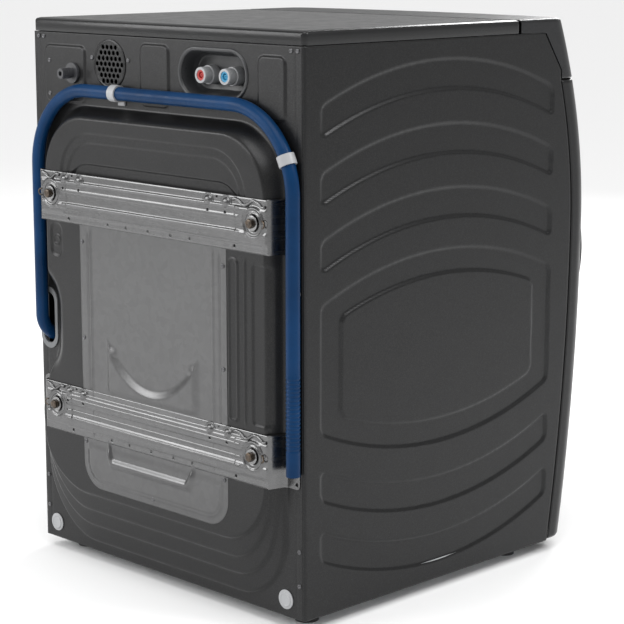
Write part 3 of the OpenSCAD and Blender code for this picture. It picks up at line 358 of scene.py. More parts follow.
def ring_stack(name, outline, profile, material, place, body="cabinet", capped=True):
    """Skins a closed outline through a profile. outline(inset) gives N points (u, v); profile is a list
    of (inset, level), place(u, v, level) gives the points, and capped closes the last ring."""
    rings = [outline(inset) for inset, _ in profile]
    count = len(rings[0])
    levels = [np.full(count, level) for _, level in profile]
    verts = np.vstack([place(r[:, 0], r[:, 1], level) for r, level in zip(rings, levels)])
    faces = ring_faces(len(rings), count)
    if capped:
        faces.append(tuple(range((len(rings) - 1) * count, len(rings) * count)))
    return add_mesh(name, verts, faces, material, body)


def ring_faces(rings, count, closed=False):
    """Quads between rings of count points each; closed joins the last ring to the first."""
    faces = []
    for i in range(rings if closed else rings - 1):
        a, b = i * count, ((i + 1) % rings) * count
        for j in range(count):
            k = (j + 1) % count
            faces.append((a + j, a + k, b + k, b + j))
    return faces


def round_box(x0, x1, z0, z1, r, corner=10):
    """Outline function of a rectangle with round corners, inset by any amount."""
    def outline(inset):
        rr = max(r - inset, 0.2)
        points = []
        for cx, cz, a0 in ((x1, z1, 0), (x0, z1, 90), (x0, z0, 180), (x1, z0, 270)):
            sx, sz = (1 if cx == x1 else -1), (1 if cz == z1 else -1)
            for i in range(corner + 1):
                a = math.radians(a0 + 90 * i / corner)
                px = cx - sx * (inset + rr) + rr * math.cos(a)
                pz = cz - sz * (inset + rr) + rr * math.sin(a)
                points.append((px, pz))
        return np.array(points)
    return outline


def flat(u, v, level):
    """Places a profile with its levels along Z."""
    return np.stack([u, v, level], -1)


def on_back(x, z, p):
    """Places a relief on the back: p is how far it stands out of the back plane."""
    return np.stack([x, p, z], -1)


def lathe(name, profile, centre, axis, material, body="cabinet", count=96, closed=True):
    """Revolves (radius, along) points round an axis through centre. axis is "y" or "z"."""
    profile = np.asarray(profile, float)
    angles = np.linspace(0, 2 * math.pi, count, endpoint=False)
    r, t = profile[:, 0][:, None], profile[:, 1][:, None]
    a, b = r * np.cos(angles), r * np.sin(angles)
    t = np.repeat(t, count, 1)
    parts = {"y": (a, t, b), "z": (a, b, t)}[axis]
    verts = np.stack(parts, -1).reshape(-1, 3) + np.asarray(centre, float)
    obj = add_mesh(name, verts, ring_faces(len(profile), count, closed), material, body)
    tidy_normals(obj)
    return obj


def tidy_normals(obj):
    """Welds double points and turns all faces outwards."""
    bm = bmesh.new()
    bm.from_mesh(obj.data)
    bmesh.ops.remove_doubles(bm, verts=bm.verts, dist=1e-6)
    bmesh.ops.recalc_face_normals(bm, faces=bm.faces)
    bm.to_mesh(obj.data)
    bm.free()


FILLET_STEPS = 4


def fillet(points, radius, closed=True):
    """Rounds the corners of a profile."""
    out = []
    n = len(points)
    for i, p in enumerate(points):
        if not closed and i in (0, n - 1):
            out.append(tuple(p))
            continue
        a, b = np.array(points[i - 1], float), np.array(points[(i + 1) % n], float)
        p = np.array(p, float)
        la, lb = np.linalg.norm(a - p), np.linalg.norm(b - p)
        cut = min(radius, la * 0.45, lb * 0.45)
        s, e = p + (a - p) / la * cut, p + (b - p) / lb * cut
        for k in range(FILLET_STEPS + 1):
            t = k / FILLET_STEPS
            out.append(tuple((1 - t) ** 2 * s + 2 * t * (1 - t) * p + t * t * e))
    return out


def sweep(name, path, radii, material, sides, ends=True):
    """Round tube along a path, with a radius at each point and flat ends if ends is true."""
    path = np.asarray(path, float)
    tangent = np.gradient(path, axis=0)
    tangent /= np.linalg.norm(tangent, axis=1)[:, None]
    normal = np.array([0.0, 1.0, 0.0])
    verts = []
    for p, t, r in zip(path, tangent, radii):
        normal = normal - t * normal.dot(t)
        normal /= np.linalg.norm(normal)
        other = np.cross(t, normal)
        for j in range(sides):
            a = 2 * math.pi * j / sides
            verts.append(p + r * (math.cos(a) * normal + math.sin(a) * other))
    faces = ring_faces(len(path), sides)
    if ends:
        faces.append(tuple(reversed(range(sides))))
        faces.append(tuple(range((len(path) - 1) * sides, len(path) * sides)))
    obj = add_mesh(name, verts, faces, material)
    tidy_normals(obj)
    return obj


# ---- Back of the cabinet ----

SEAM_X = HALF_W - 4.5
BULGE = 30.0
PORT = (307, 349, 374, 483)
ACCESS = (-200, 193, 135, 700, 50)
RECESS = (-219, -54, 868, 947)
VENT = (135, 911)
GLAND = (237, 891)
VENT_R = 44
GLAND_R = 12
CAP_HOLE_R = 12
PORT_R = 21
CAPS = ((319, 30), (-311, 30))
INLET_Z = 904
RIBS = ((-26, 51, 842, 951), (-314, -248, 838, 944), (203, 321, 836, 940))


def sd_port(x, z):
    """Distance to the hose port."""
    return sd_box(x, z, *PORT, PORT_R - 0.01)


def rear_height(x, z):
    """How far the pressed rear panel stands out of the back plane."""
    # bulge between its outline on the back plane and that of its flat face, wider low on the left
    flare = smooth(20, 190, z) * (1 - smooth(255, 350, z))
    xs = np.where(x > 0, x * 312 / (312 + 24 * flare), x)
    foot = sd_box(xs, z, -312, 312, 17, 835, 115)
    face = sd_box(xs, z, -290, 290, 122, 812, 108)
    # an even slope above, terraces below, and a hollow round the hose port
    t = np.clip(-foot / np.maximum(face - foot, 1e-3), 0, 1)
    even = t * t * (3 - 2 * t)
    steps = 0.30 * t
    for at in (0.0, 0.32, 0.62, 0.94):
        steps = steps + 0.175 * smooth(at, at + 0.05, t)
    low = 1 - smooth(150, 260, z)
    p = BULGE * (even * (1 - low) + steps * low)
    p = p * smooth(6, 58, sd_port(x, z))
    # nested terraces above the upper brace
    for top, wide, sink, bend in ((789, 247, 2.6, 84), (772, 232, 2.2, 72), (733, 236, 2.8, 62)):
        line = sd_box(x, z, -wide, wide, 60, top, bend)
        p = p - sink * (1 - smooth(-3.2, 0.8, line)) * smooth(640, 700, z)
    # upright bead, ring bead and sunk fields beside the access panel
    p = p + 2.2 * bead(x + 245, 2.6) * smooth(322, 338, z) * (1 - smooth(598, 614, z))
    p = p + 2.4 * bead(sd_box(x, z, -226, -205, 330, 606, 9), 2.6)
    p = p - 2.4 * (1 - smooth(-3, 0.5, sd_box(x, z, 246, 280, 556, 618, 15)))
    p = p + 2.0 * bead(np.hypot(x - 264, z - 586) - 9, 2.4)
    p = p - 2.0 * (1 - smooth(-3, 0.5, sd_box(x, z, -300, -262, 330, 604, 8)))
    for x0, x1, z0, z1 in RIBS:
        p = p + 3.0 * (1 - smooth(-2.8, 0.4, sd_box(x, z, x0, x1, z0, z1, 14)))
    # fold line along each side
    p = p - 0.7 * bead(np.abs(x) - 336, 2.0) * smooth(0, 30, z)
    return p


def rear_cut(x, z):
    """Holes of the rear panel: vent, gland, inlet recess, hose port, access opening and capped holes."""
    d = np.minimum(sd_inset(x, z, RECESS, 3), sd_inset(x, z, ACCESS[:4], 15))
    d = np.minimum(d, sd_port(x, z))
    holes = [(*VENT, VENT_R - 5), (*GLAND, GLAND_R)] + [(cx, cz, CAP_HOLE_R) for cx, cz in CAPS]
    for cx, cz, r in holes:
        d = np.minimum(d, np.hypot(x - cx, z - cz) - r)
    return d


def sd_inset(x, z, box, inset, r=36):
    x0, x1, z0, z1 = box
    return sd_box(x, z, x0 + inset, x1 - inset, z0 + inset, z1 - inset, r)


def access_height(x, z):
    """Relief of the galvanised cover: folds, a smile-shaped ridge and a sausage-shaped one below it."""
    # border: a step, and a raised rim with a groove round the lower part
    edge = sd_box(x, z, *ACCESS)
    p = 0.5 * smooth(-4, -9, edge)
    p = p + 2.4 * (1 - smooth(-14.5, -11.5, edge)) * (1 - smooth(205, 225, z))
    p = p - 1.6 * bead(edge + 17, 2.6) * (z < 205)
    # smile: a field raised below a curve, with a horn at each end
    low, rise, half, power = 336, 58, 112, 2.1
    ax = np.abs(x + 4)
    curve_z = low + rise * (ax / half) ** power
    slope = rise * power / half * (ax / half) ** (power - 1)
    across = (z - curve_z) / np.sqrt(1 + slope ** 2)
    pocket = both(across - 13, ax - 128, 9.0)
    raised = (1 - smooth(-19, 0, pocket)) * smooth(318, 331, z)
    horn = 0.6 * (1 - smooth(0, 21, np.hypot(ax - 110, z - 393)))
    p = p + 5.6 * np.maximum(raised, horn)
    # sausage with its ends turned up
    bx = np.abs(x - 4)
    turned_up = np.clip((bx - 98) / 20, 0, 1)
    slot = np.abs(z - 192 - 30 * turned_up ** 2) / np.sqrt(1 + (3 * turned_up) ** 2)
    p = p + 5.2 * (1 - smooth(1, 11, slot)) * (1 - smooth(110, 122, bx))
    # upright folds near both long edges
    for at, lift in ((171, -2.0), (162, 2.2), (-166, 2.2), (-183, -2.0)):
        p = p + lift * bead(x - at, 2.8) * smooth(225, 236, z) * (1 - smooth(606, 622, z))
    return p


def access_cut(x, z):
    """Everything outside the access panel."""
    return -sd_box(x, z, *ACCESS)


def build_recess(mats):
    """Moulded cup with a rolled rim around the two water inlets."""
    outline = round_box(RECESS[0] - 5, RECESS[1] + 5, RECESS[2] - 5, RECESS[3] + 5, 44, corner=24)
    profile = fillet([(0.0, 0.1), (0.4, 1.4), (2.2, 2.6), (5.2, 2.4), (7.6, 0.4), (9.4, -6), (11.2, -24),
                      (15.5, -32.4), (24, -33)], 2.0, closed=False)
    cup = ring_stack("recess_cup", outline, profile, mats["cup"], on_back)
    tidy_normals(cup)
    soft_shade(cup, 60)
    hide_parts("inlet_recess")
    for name, x in (("hot", -105), ("cold", -165)):
        at = (x, 0, INLET_Z)
        rib = [(13.32, -17.5)]
        for k in range(5):
            y = -15.5 + 3 * k
            rib += [(13.34, y - 1.2), (13.8, y - 0.3), (13.8, y + 0.3), (13.34, y + 1.2)]
        rib += [(13.34, -0.8), (12.9, -0.05), (9.5, -0.05), (9.35, -0.5), (9.35, -4)]
        thread = lathe("inlet_thread_" + name, rib, at, "y", mats["pale"], count=64, closed=False)
        ring = fillet([(9.34, -1.2), (9.34, -4.5), (5.4, -4.5), (5.4, -2.0), (6.4, -1.2)], 0.6)
        seal = lathe("inlet_seal_" + name, ring, at, "y", mats[name], count=64)
        sieve = [(0.1, -3.4), (2.6, -3.0), (5.5, -3.9), (5.5, -4.4), (0.1, -4.4)]
        screen = lathe("inlet_screen_" + name, sieve, at, "y", mats["mesh_" + name], count=48)
        sleeve = fillet([(13.3, -17), (16.2, -17), (16.2, -32.8), (13.3, -32.8)], 0.8)
        nut = lathe("inlet_collar_" + name, sleeve, at, "y", mats["pale"], count=64)
        for obj in (thread, seal, screen, nut):
            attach(obj, "cabinet")


def build_back(mats):
    """Rear panel, access panel and all that is fixed to them."""
    us = grid(-SEAM_X + 0.4, SEAM_X - 0.4, 2.3)
    vs = np.concatenate([grid(0, 630, 2.6), grid(631.7, TOP_SEAM - 1, 1.7)])
    rear = relief("rear_sheet", us, vs, rear_height, on_back, mats["paint_back"], rear_cut, -1.2)
    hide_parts("rear_panel")
    us, vs = grid(ACCESS[0], ACCESS[1], 2.4), grid(ACCESS[2], ACCESS[3], 2.4)
    cover = relief("access_sheet", us, vs, access_height, lambda x, z, p: on_back(x, z, p + BULGE + 0.6),
                   mats["galv"], access_cut, -1.0)
    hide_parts("access_panel")
    build_recess(mats)
    build_braces(mats)
    build_hose(mats)
    build_vent(mats)
    build_caps(mats)
    build_screws(mats)


# ---- Transit braces ----

BRACE_Z = (227, 622)
BOLT_X = (266, 270)
BRACE_FACE = 36.5
BRACE_END = 301.0
BRACE_TALL = 92
FOOT_X = 345
BOLT_V = 51
# distance of the first dome from the middle and dome pitch, on the left and on the right
DOME_FIRST = (190, 158)
DOME_PITCH = (42.0, 45.0)


def brace_height(bolt_x, beads):
    """Height function of a brace over x and v, the distance above its lower edge."""
    def height(x, v):
        ax = np.abs(x)
        up = smooth(BRACE_END + 15, BRACE_END + 1, ax)
        p = 32.2 + 2.2 * smooth(12, 18, v) * (1 - smooth(72, 79, v))
        p = p - 1.8 * smooth(32, 38, v) * (1 - smooth(54, 60, v))
        for at in beads:
            p = p + 1.1 * bead(v - at, 3.2) * (ax < 236)
        r = np.hypot(ax - bolt_x, v - BOLT_V)
        disc = BRACE_FACE - 2.6 + 2.6 * bead(r - 24.5, 4) + 1.8 * bead(r - 16.5, 3)
        p = np.where(r < 28, disc * smooth(28, 25, r) + p * (1 - smooth(28, 25, r)), p)
        # flat plate under the bolt that shows inboard of the disc
        plate = sd_box(ax, v, bolt_x - 44, bolt_x - 10, 26, 76, 3)
        p = np.where(r < 27, p, p + 1.6 * (1 - smooth(-1.2, 0.2, plate)))
        edge = np.minimum(v, BRACE_TALL - v)
        p = p - 1.2 * smooth(2.4, 0, edge)
        p = 32.6 + (p - 32.6) * smooth(BRACE_END + 1, BRACE_END - 3, ax)
        p = 1.5 + (p - 1.5) * up
        dimple = np.hypot(ax - 331, v - 46)
        return p - 0.6 * (1 - smooth(4, 9, dimple)) * (ax > 318)
    return height


def brace_cut(x, v):
    """Small holes of a brace, and the round outer corners of its feet."""
    ax = np.abs(x)
    d = -sd_box(x, v, -FOOT_X, FOOT_X, 0, BRACE_TALL, 9)
    first = np.where(x > 0, *DOME_FIRST)
    holes = [(222, 8, 2.6), (338, 9, 3.2), (0, 8, 2.4), (60, 8, 2.4), (110, 8, 2.4)]
    for at in (first, first + 43.5):
        holes += [(at, 63, 2.2), (at + 21, 86.5, 1.9)]
    for hx, hv, r in holes:
        d = np.minimum(d, np.hypot(ax - hx, v - hv) - r)
    return d


def build_braces(mats):
    """Both transit braces with their walls, beads, loops and bolts."""
    for name, z, bolt, beads in (("lower", BRACE_Z[0], BOLT_X[0], (79, 66, 57, 44, 29, 14)),
                                 ("upper", BRACE_Z[1], BOLT_X[1], (75, 59, 34, 15))):
        sheet = relief("brace_sheet_" + name, grid(-FOOT_X, FOOT_X, 1.5), grid(0, BRACE_TALL, 1.3),
                       brace_height(bolt, beads), lambda x, v, p, z=z: on_back(x, v + z, p),
                       mats["galv_bright"], brace_cut, -1.3)
        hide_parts("brace_" + name)
        # walls under the long edges of the raised face
        for k, v in enumerate((0.6, BRACE_TALL - 0.6)):
            xs = grid(-BRACE_END - 13, BRACE_END + 13, 6)
            rows = []
            for x in xs:
                up = float(smooth(BRACE_END + 15, BRACE_END + 1, abs(x)))
                top = 1.5 + (31.0 - 1.5) * up
                under = BULGE + 1.2 if ACCESS[0] < x < ACCESS[1] else float(rear_height(x, z + v)) + 0.6
                rows.append([(x, p, z + v) for p in (min(under, top - 0.4), top)])
            verts = np.array(rows).reshape(-1, 3)
            faces = [(2 * i, 2 * i + 2, 2 * i + 3, 2 * i + 1) for i in range(len(xs) - 1)]
            wall = add_mesh("brace_wall_%s_%d" % (name, k), verts, faces, mats["galv_bright"])
            thicken(wall, 1.0)
            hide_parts("brace_" + name)
        for s in (-1, 1):
            brace_wave(name, s, z, mats)
            loop = bolt_loop("brace_loop_%s_%d" % (name, s), s * (bolt + 24), z + BOLT_V, mats["bolt"])
            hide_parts("brace_" + name)
            build_bolt(name, s, s * bolt, z + BOLT_V, mats)


def brace_wave(name, s, z, mats):
    """Waved bead along the upper flange of one end, with two pressed domes where it starts."""
    side = 0 if s > 0 else 1
    first, period = DOME_FIRST[side], DOME_PITCH[side]
    tag = "%s_%s" % (name, "left" if s < 0 else "right")
    path = []
    for ax in np.arange(first + 1.35 * period, BRACE_END - 3, 2.0):
        path.append((s * ax, 32.8, z + 83.0 - 4.6 * math.cos((ax - first) * 2 * math.pi / period)))
    tube = sweep("brace_wave_" + tag, path, [2.9] * len(path), mats["galv_bright"], sides=16)
    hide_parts("brace_" + name)
    dome = fillet([(0.1, 4.6), (5.2, 4.2), (8.6, 1.4), (9.6, -0.6), (11.6, -0.4), (12.8, 0.9), (14.2, -0.4),
                   (0.1, -0.5)], 2.0)
    for k in (0, 1):
        cup = lathe("brace_dome_%s_%d" % (tag, k), dome, (s * (first + period * k), 32.6, z + 78), "y",
                    mats["galv_bright"], count=48)
        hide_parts("brace_" + name)


def bolt_loop(name, x, z, material):
    """Half ring of wire beside a bolt."""
    s = 1 if x > 0 else -1
    path = []
    for i in range(17):
        a = math.pi * i / 16
        path.append((x + s * 7 * math.sin(a), BRACE_FACE + 0.6 + 1.6 * math.sin(a), z + 6 * math.cos(a)))
    return sweep(name, path, [1.3] * 17, material, sides=12)


def prism(name, outline, y0, y1, material, bevel):
    """Flat outline (x, z) made thick along Y with softened edges."""
    n = len(outline)
    verts = [(x, y, z) for y in (y0, y1) for x, z in outline]
    faces = [tuple(range(n)), tuple(reversed(range(n, 2 * n)))]
    faces += [(i, i + n, (i + 1) % n + n, (i + 1) % n) for i in range(n)]
    obj = add_mesh(name, verts, faces, material)
    tidy_normals(obj)
    mod = obj.modifiers.new("edges", "BEVEL")
    mod.width = bevel * MM
    mod.segments = 2
    mod.limit_method = "ANGLE"
    mod.angle_limit = math.radians(35)
    apply_modifiers(obj)
    obj.data.shade_smooth()
    return obj


def ngon(cx, cz, r, count, turn=0.0):
    angles = [turn + 2 * math.pi * i / count for i in range(count)]
    return [(cx + r * math.cos(a), cz + r * math.sin(a)) for a in angles]


def build_bolt(name, s, x, z, mats):
    """Hexagon head with a crater and a washer."""
    tag = "%s_%s" % (name, "left" if s < 0 else "right")
    head = prism("bolt_head_" + tag, ngon(x, z, 8.6, 6, 0.3), BRACE_FACE + 1.8, 45.4, mats["bolt"], 1.0)
    disc = fillet([(0.1, 0), (13, 0), (13, 2.2), (8.5, 2.6), (0.1, 2.6)], 0.7)
    washer = lathe("bolt_washer_" + tag, disc, (x, BRACE_FACE - 0.6, z), "y", mats["steel"], count=64)
    crater = fillet([(0.1, 0), (4.6, 0), (4.6, 0.5), (3.4, 0.5), (3.0, 0.1), (0.1, 0.1)], 0.2)
    dimple = lathe("bolt_mark_" + tag, crater, (x, 45.35, z), "y", mats["bolt"], count=40)
    for obj in (head, washer, dimple):
        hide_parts("transit_bolts")


# ---- Hose, clips, grommet ----

HOSE_X = (-343.0, 332.0)
HOSE_Y = 14.5
HOSE_END_Z = 254
RINGED_Z = (297, 424)


def hose_path():
    """Centre line of the hose from its open end, over the bulge and into the port."""
    x_r, x_l = HOSE_X
    top, bend, dive, y = 862.0, 144.0, 45.0, HOSE_Y
    pts = [(x_r, y, z) for z in grid(HOSE_END_Z, RINGED_Z[0] - 1, 3)]
    pts += [(x_r, y, z) for z in np.arange(*RINGED_Z, 1.0)]
    pts += [(x_r, y, z) for z in grid(RINGED_Z[1] + 4, top - bend, 10)]
    for i in range(1, 37):
        a = math.pi / 2 * i / 36
        pts.append((x_r + bend - bend * math.cos(a), y, top - bend + bend * math.sin(a)))
    pts += [(x, y, top) for x in grid(x_r + bend + 10, x_l - bend - 10, 14)]
    for i in range(0, 37):
        a = math.pi / 2 * i / 36
        pts.append((x_l - bend + bend * math.sin(a), y, top - bend + bend * math.cos(a)))
    pts += [(x_l, y, z) for z in grid(top - bend - 10, 447, 10)]
    for i in range(0, 15):
        a = math.pi / 2 * i / 14
        pts.append((x_l, y - dive + dive * math.cos(a), 437 - dive * math.sin(a)))
    pts += [(x_l, y - dive - d, 437 - dive) for d in (10, 30, 50)]
    return pts


def build_hose(mats):
    """Drain hose, ringed near its open end, with a cuff and a bore."""
    pts = hose_path()
    radii = []
    for x, _, z in pts:
        ringed = x == HOSE_X[0] and RINGED_Z[0] <= z < RINGED_Z[1]
        radii.append(11.75 + 0.62 * math.cos(2 * math.pi * (z - 296) / 7) if ringed else 11.9)
    radii[0] = 11.4
    hose = sweep("hose_tube", pts, radii, mats["hose"], sides=40, ends=False)
    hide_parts("drain_hose")
    # smooth cuff at the free end, with its bore
    rim = fillet([(9.4, 36), (9.4, 0.3), (11.6, 0.1), (12.0, 1.2), (12.0, 4.4), (11.2, 5), (11.2, 7)],
                 0.5, closed=False)
    cuff = lathe("hose_cuff", rim, (HOSE_X[0], HOSE_Y, HOSE_END_Z), "z", mats["hose"], closed=False)
    disc = [(0.1, 0), (9.6, 0), (9.6, 0.6), (0.1, 0.6)]
    plug = lathe("hose_bore_end", disc, (HOSE_X[0], HOSE_Y, HOSE_END_Z + 36), "z", mats["hose"])
    for obj in (cuff, plug):
        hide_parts("drain_hose")


# ---- Vent, caps, screws ----

def build_vent(mats):
    """Round plate with a honeycomb of holes."""
    pitch, hole_r = 11.5, 3.9
    holes = []
    for j in range(-4, 5):
        for i in range(-6, 7):
            x, z = (i + (0 if j % 2 == 0 else 0.5)) * pitch, j * pitch * math.sin(math.pi / 3)
            if math.hypot(x, z) < VENT_R - hole_r - 4:
                holes.append((x, z))
    hx, hz = np.array(holes).T

    def cut(x, z):
        d = np.hypot((x - VENT[0])[..., None] - hx, (z - VENT[1])[..., None] - hz).min(-1) - hole_r
        return np.minimum(d, VENT_R - np.hypot(x - VENT[0], z - VENT[1]))

    def height(x, z):
        r = np.hypot(x - VENT[0], z - VENT[1])
        return 1.2 + 0.8 * bead(r - 41, 2.2)

    us, vs = [grid(middle - VENT_R - 1, middle + VENT_R + 1, 1.0) for middle in VENT]
    obj = relief("vent_plate", us, vs, height, on_back, mats["paint_back"], cut, -1.2)
    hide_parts("vent_grille")


def build_caps(mats):
    """Plastic caps of the two lower holes."""
    for i, (x, z) in enumerate(CAPS):
        profile = fillet([(0.1, 3.4), (9, 3.4), (10.5, 4.2), (12.6, 4.2), (13.4, 2.6), (17, 2.2), (17, 0.1),
                          (0.1, 0.1)], 0.8)
        cap = lathe("cap_disc_%d" % i, profile, (x, 0, z), "y", mats["pale"], count=72)
        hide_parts("hole_caps")


SCREWS = [(x, 954, 0.0) for x in (-340, -325, 325, 340)] + [(185, 921, 0.0), (84, 920, 0.0)]
SCREWS += [(x, z, 0.0) for x in (-343, 343) for z in (60, 120, 560)]
SCREWS += [(306, 911, 2.5), (306, 851, 2.5)]
SCREWS += [(x, z, BULGE + 0.8) for x in (-191, 186) for z in (221, 415, 592)] + [(-2, 148, BULGE + 0.8)]


def build_screws(mats):
    """Pan heads with a cross slot, each turned by another angle."""
    rings = [(4.2, 0.0), (4.2, 0.9), (3.7, 1.6), (2.7, 2.1), (2.2, 2.15)]
    count = 32
    angles = [2 * math.pi * k / count for k in range(count)]
    last = len(rings) * count
    for i, (x, z, y) in enumerate(SCREWS):
        verts = [(x + r * math.cos(a), y + h, z + r * math.sin(a)) for r, h in rings for a in angles]
        for a in angles:
            local = a - 0.6 * i
            arm = max(abs(math.cos(local)), abs(math.sin(local)))
            deep = 1.0 if arm > 0.93 else 0.25
            verts.append((x + 1.5 * math.cos(a), y + 2.15 - deep, z + 1.5 * math.sin(a)))
        verts.append((x, y + 1.0, z))
        faces = ring_faces(len(rings) + 1, count)
        faces += [(last + k, last + (k + 1) % count, last + count) for k in range(count)]
        obj = add_mesh("screw_head_%02d" % i, verts, faces, mats["screw"])
        tidy_normals(obj)
        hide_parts("panel_screws")


# ---- Sides and top ----

BAND_R = 734.0
SIDE_MID = -338.0
SIDE_BEND_R = 4.5
FRONT_Y = -785
FRONT_PEAK_Z = 610
LOWER_CURVE = 1.36e-4
UPPER_CURVE = 5.5e-4
KNOB_Z = 922.0
SIDE_BOW = 32


def face_y(z):
    """Front face on the middle line: a slow curve below its foremost height, a faster one above."""
    k = np.where(z < FRONT_PEAK_Z, LOWER_CURVE, UPPER_CURVE)
    return FRONT_Y + k * (z - FRONT_PEAK_Z) ** 2


def bow_y(x):
    """How far the front face falls back towards its sides."""
    return SIDE_BOW * (x / HALF_W) ** 2


def face_front(obj):
    """Turns a front skin's faces away from the cabinet."""
    total = sum(p.normal.y * p.area for p in obj.data.polygons)
    if total > 0:
        obj.data.flip_normals()


def both(a, b, r=12.0):
    """Largest of two distances with a rounded corner between them."""
    return np.minimum(np.maximum(a, b), -r) + np.hypot(np.maximum(a + r, 0), np.maximum(b + r, 0))


def sd_band(y, z, top, low, half):
    """Band between two arcs: each bound is (height of the arc on the centre line, which way it bows)."""
    d = None
    for at, bow, sign in ((top[0], top[1], 1), (low[0], low[1], -1)):
        centre = at - bow * BAND_R
        arc = bow * sign * (np.hypot(y - SIDE_MID, z - centre) - BAND_R)
        d = arc if d is None else both(d, arc)
    return both(d, np.abs(y - SIDE_MID) - half)


def side_sink(y, z):
    """Depth of the pressed bands and lens of a side panel."""
    deep = np.zeros_like(y)
    shapes = [sd_band(y, z, (t, 1), (t - 54, 1), 300) for t in (929, 818, 706)]
    shapes += [sd_band(y, z, (t + 54, -1), (t, -1), 300) for t in (138, 32)]
    outer = sd_band(y, z, (599, 1), (253, -1), 300)
    inner = sd_band(y, z, (554, 1), (298, -1), 250)
    shapes.append(both(outer, -inner, 2.0))
    for d in shapes:
        deep = np.maximum(deep, 1 - smooth(-3.2, 0.2, d))
    return 3.4 * deep


def side_front(z):
    """Front edge of a side panel, one millimetre behind the front and control panels."""
    edge = face_y(z) + 86
    upper = -660 + 49 * (z - 893) / 69
    return np.where(z < 876, edge, np.where(z < 893, -660.0, upper))


def build_sides(mats):
    """Side skins bent round the rear corners, with their flanges."""
    bend = [1 + 0.01 * i for i in range(1, 9)]
    top_z = TOP_SEAM - 1
    us = np.concatenate([np.linspace(0, 1, 190), bend])
    vs = grid(0, top_z, 2.6)
    for s, name in ((1, "side_panel_left"), (-1, "side_panel_right")):
        def place(u, z, p, s=s):
            y = side_front(z) + np.minimum(u, 1) * (-SIDE_BEND_R - side_front(z))
            angle = np.clip((u - 1) / 0.08, 0, 1) * math.pi / 2
            y = y + SIDE_BEND_R * np.sin(angle)
            roll = smooth(2.2, 0, y - side_front(z))
            x = HALF_W - SIDE_BEND_R * (1 - np.cos(angle)) - p - roll
            return np.stack([s * x, y, z], -1)

        def height(u, z):
            y = side_front(z) + np.minimum(u, 1) * (-SIDE_BEND_R - side_front(z))
            return side_sink(y, z) * (u <= 1)

        obj = relief("skin_" + name, us, vs, height, place, mats["paint"], None, 0)
        tidy_normals(obj)
        outward(obj, s)
        thicken(obj, 1.2)
        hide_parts(name)
        # turned-in flange that the rear panel is screwed to
        section = ((SEAM_X + 0.2, -0.6), (SEAM_X + 0.2, -2.6), (HALF_W - 22, -2.6))
        rim = [(s * x, y, z) for x, y in section for z in (0, top_z)]
        flange = add_mesh("flange_" + name, rim, [(0, 1, 3, 2), (2, 3, 5, 4)], mats["paint"])
        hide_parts(name)


def outward(obj, s):
    """Turns a side skin's faces away from the cabinet."""
    total = sum(p.normal.x * p.area for p in obj.data.polygons)
    if total * s < 0:
        obj.data.flip_normals()


def build_top(mats):
    """Lid with a rounded, stepped edge."""
    outline = round_box(-HALF_W, HALF_W, -541, 0, 9, corner=8)
    profile = [(2.2, TOP_SEAM + 0.3), (0.6, TOP_SEAM + 0.2), (0.0, TOP_SEAM + 1.2)]
    # inset and depth below the top of each ring of the lid's round edge and its low rim
    rings = ((0.0, 7), (0.5, 4.4), (1.7, 2.6), (3.6, 1.5), (5.6, 1.1), (6.6, 0.9), (8.0, 0.3), (10.0, 0.0),
             (12.0, 0.0))
    profile += [(inset, CABINET_H - depth) for inset, depth in rings]
    top = ring_stack("lid", outline, profile, mats["lid"], flat)
    thicken(top, 1.2)
    soft_shade(top, 40)
    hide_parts("top_panel")


def soft_shade(obj, angle=30):
    """Smooth shading that keeps the sharp edges."""
    bpy.context.view_layer.objects.active = obj
    for other in bpy.context.selected_objects:
        other.select_set(False)
    obj.select_set(True)
    bpy.ops.object.shade_smooth_by_angle(angle=math.radians(angle))
    obj.select_set(False)


# ---- Front ----

CORNER_R = 38.0
FLAT = HALF_W - CORNER_R
ARC = CORNER_R * math.pi / 2
SEAM_Z = 876.0
CHEEK = 15
DOOR_HOLE_R = 264


def front_shape(u, z, inset, straight):
    """Point on the outline of the front at height z, u along it from the middle. straight is the
    length of the flat cheek behind the corner, which the last CHEEK of u is spread over."""
    au = np.abs(u)
    r = CORNER_R - inset
    y0 = face_y(z) + inset
    angle = np.clip((au - FLAT) / ARC, 0, 1) * math.pi / 2
    x = np.where(au <= FLAT, au, FLAT + r * np.sin(angle))
    y = y0 + bow_y(x) + np.where(au <= FLAT, 0, r * (1 - np.cos(angle)))
    rear = np.clip((au - FLAT - ARC) / CHEEK, 0, 1)
    y = y + rear * straight
    return np.sign(u) * x, y


def front_lines():
    """Stops of u across the front: cheeks, corners and face."""
    corner, end = FLAT + ARC, FLAT + ARC + CHEEK
    spans = ((-end, -corner, 4), (-corner, -FLAT, 17), (-FLAT, FLAT, 157), (FLAT, corner, 17),
             (corner, end, 4))
    return np.unique(np.round(np.concatenate([np.linspace(*span) for span in spans]), 4))


def no_relief(u, v):
    return u * 0


def drum_ring(name, profile, material, body, node, closed=True):
    """Ring on the drum's axis that stands for a CAD node."""
    obj = lathe(name, profile, (0, 0, DRUM_Z), "y", material, body, count=160, closed=closed)
    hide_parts(node)


def quarter_round(d, r):
    """Depth of a quarter-round edge of radius r at a distance d from the border."""
    return r * (1 - np.sqrt(np.clip(1 - (1 - np.clip(d / r, 0, 1)) ** 2, 0, 1)))


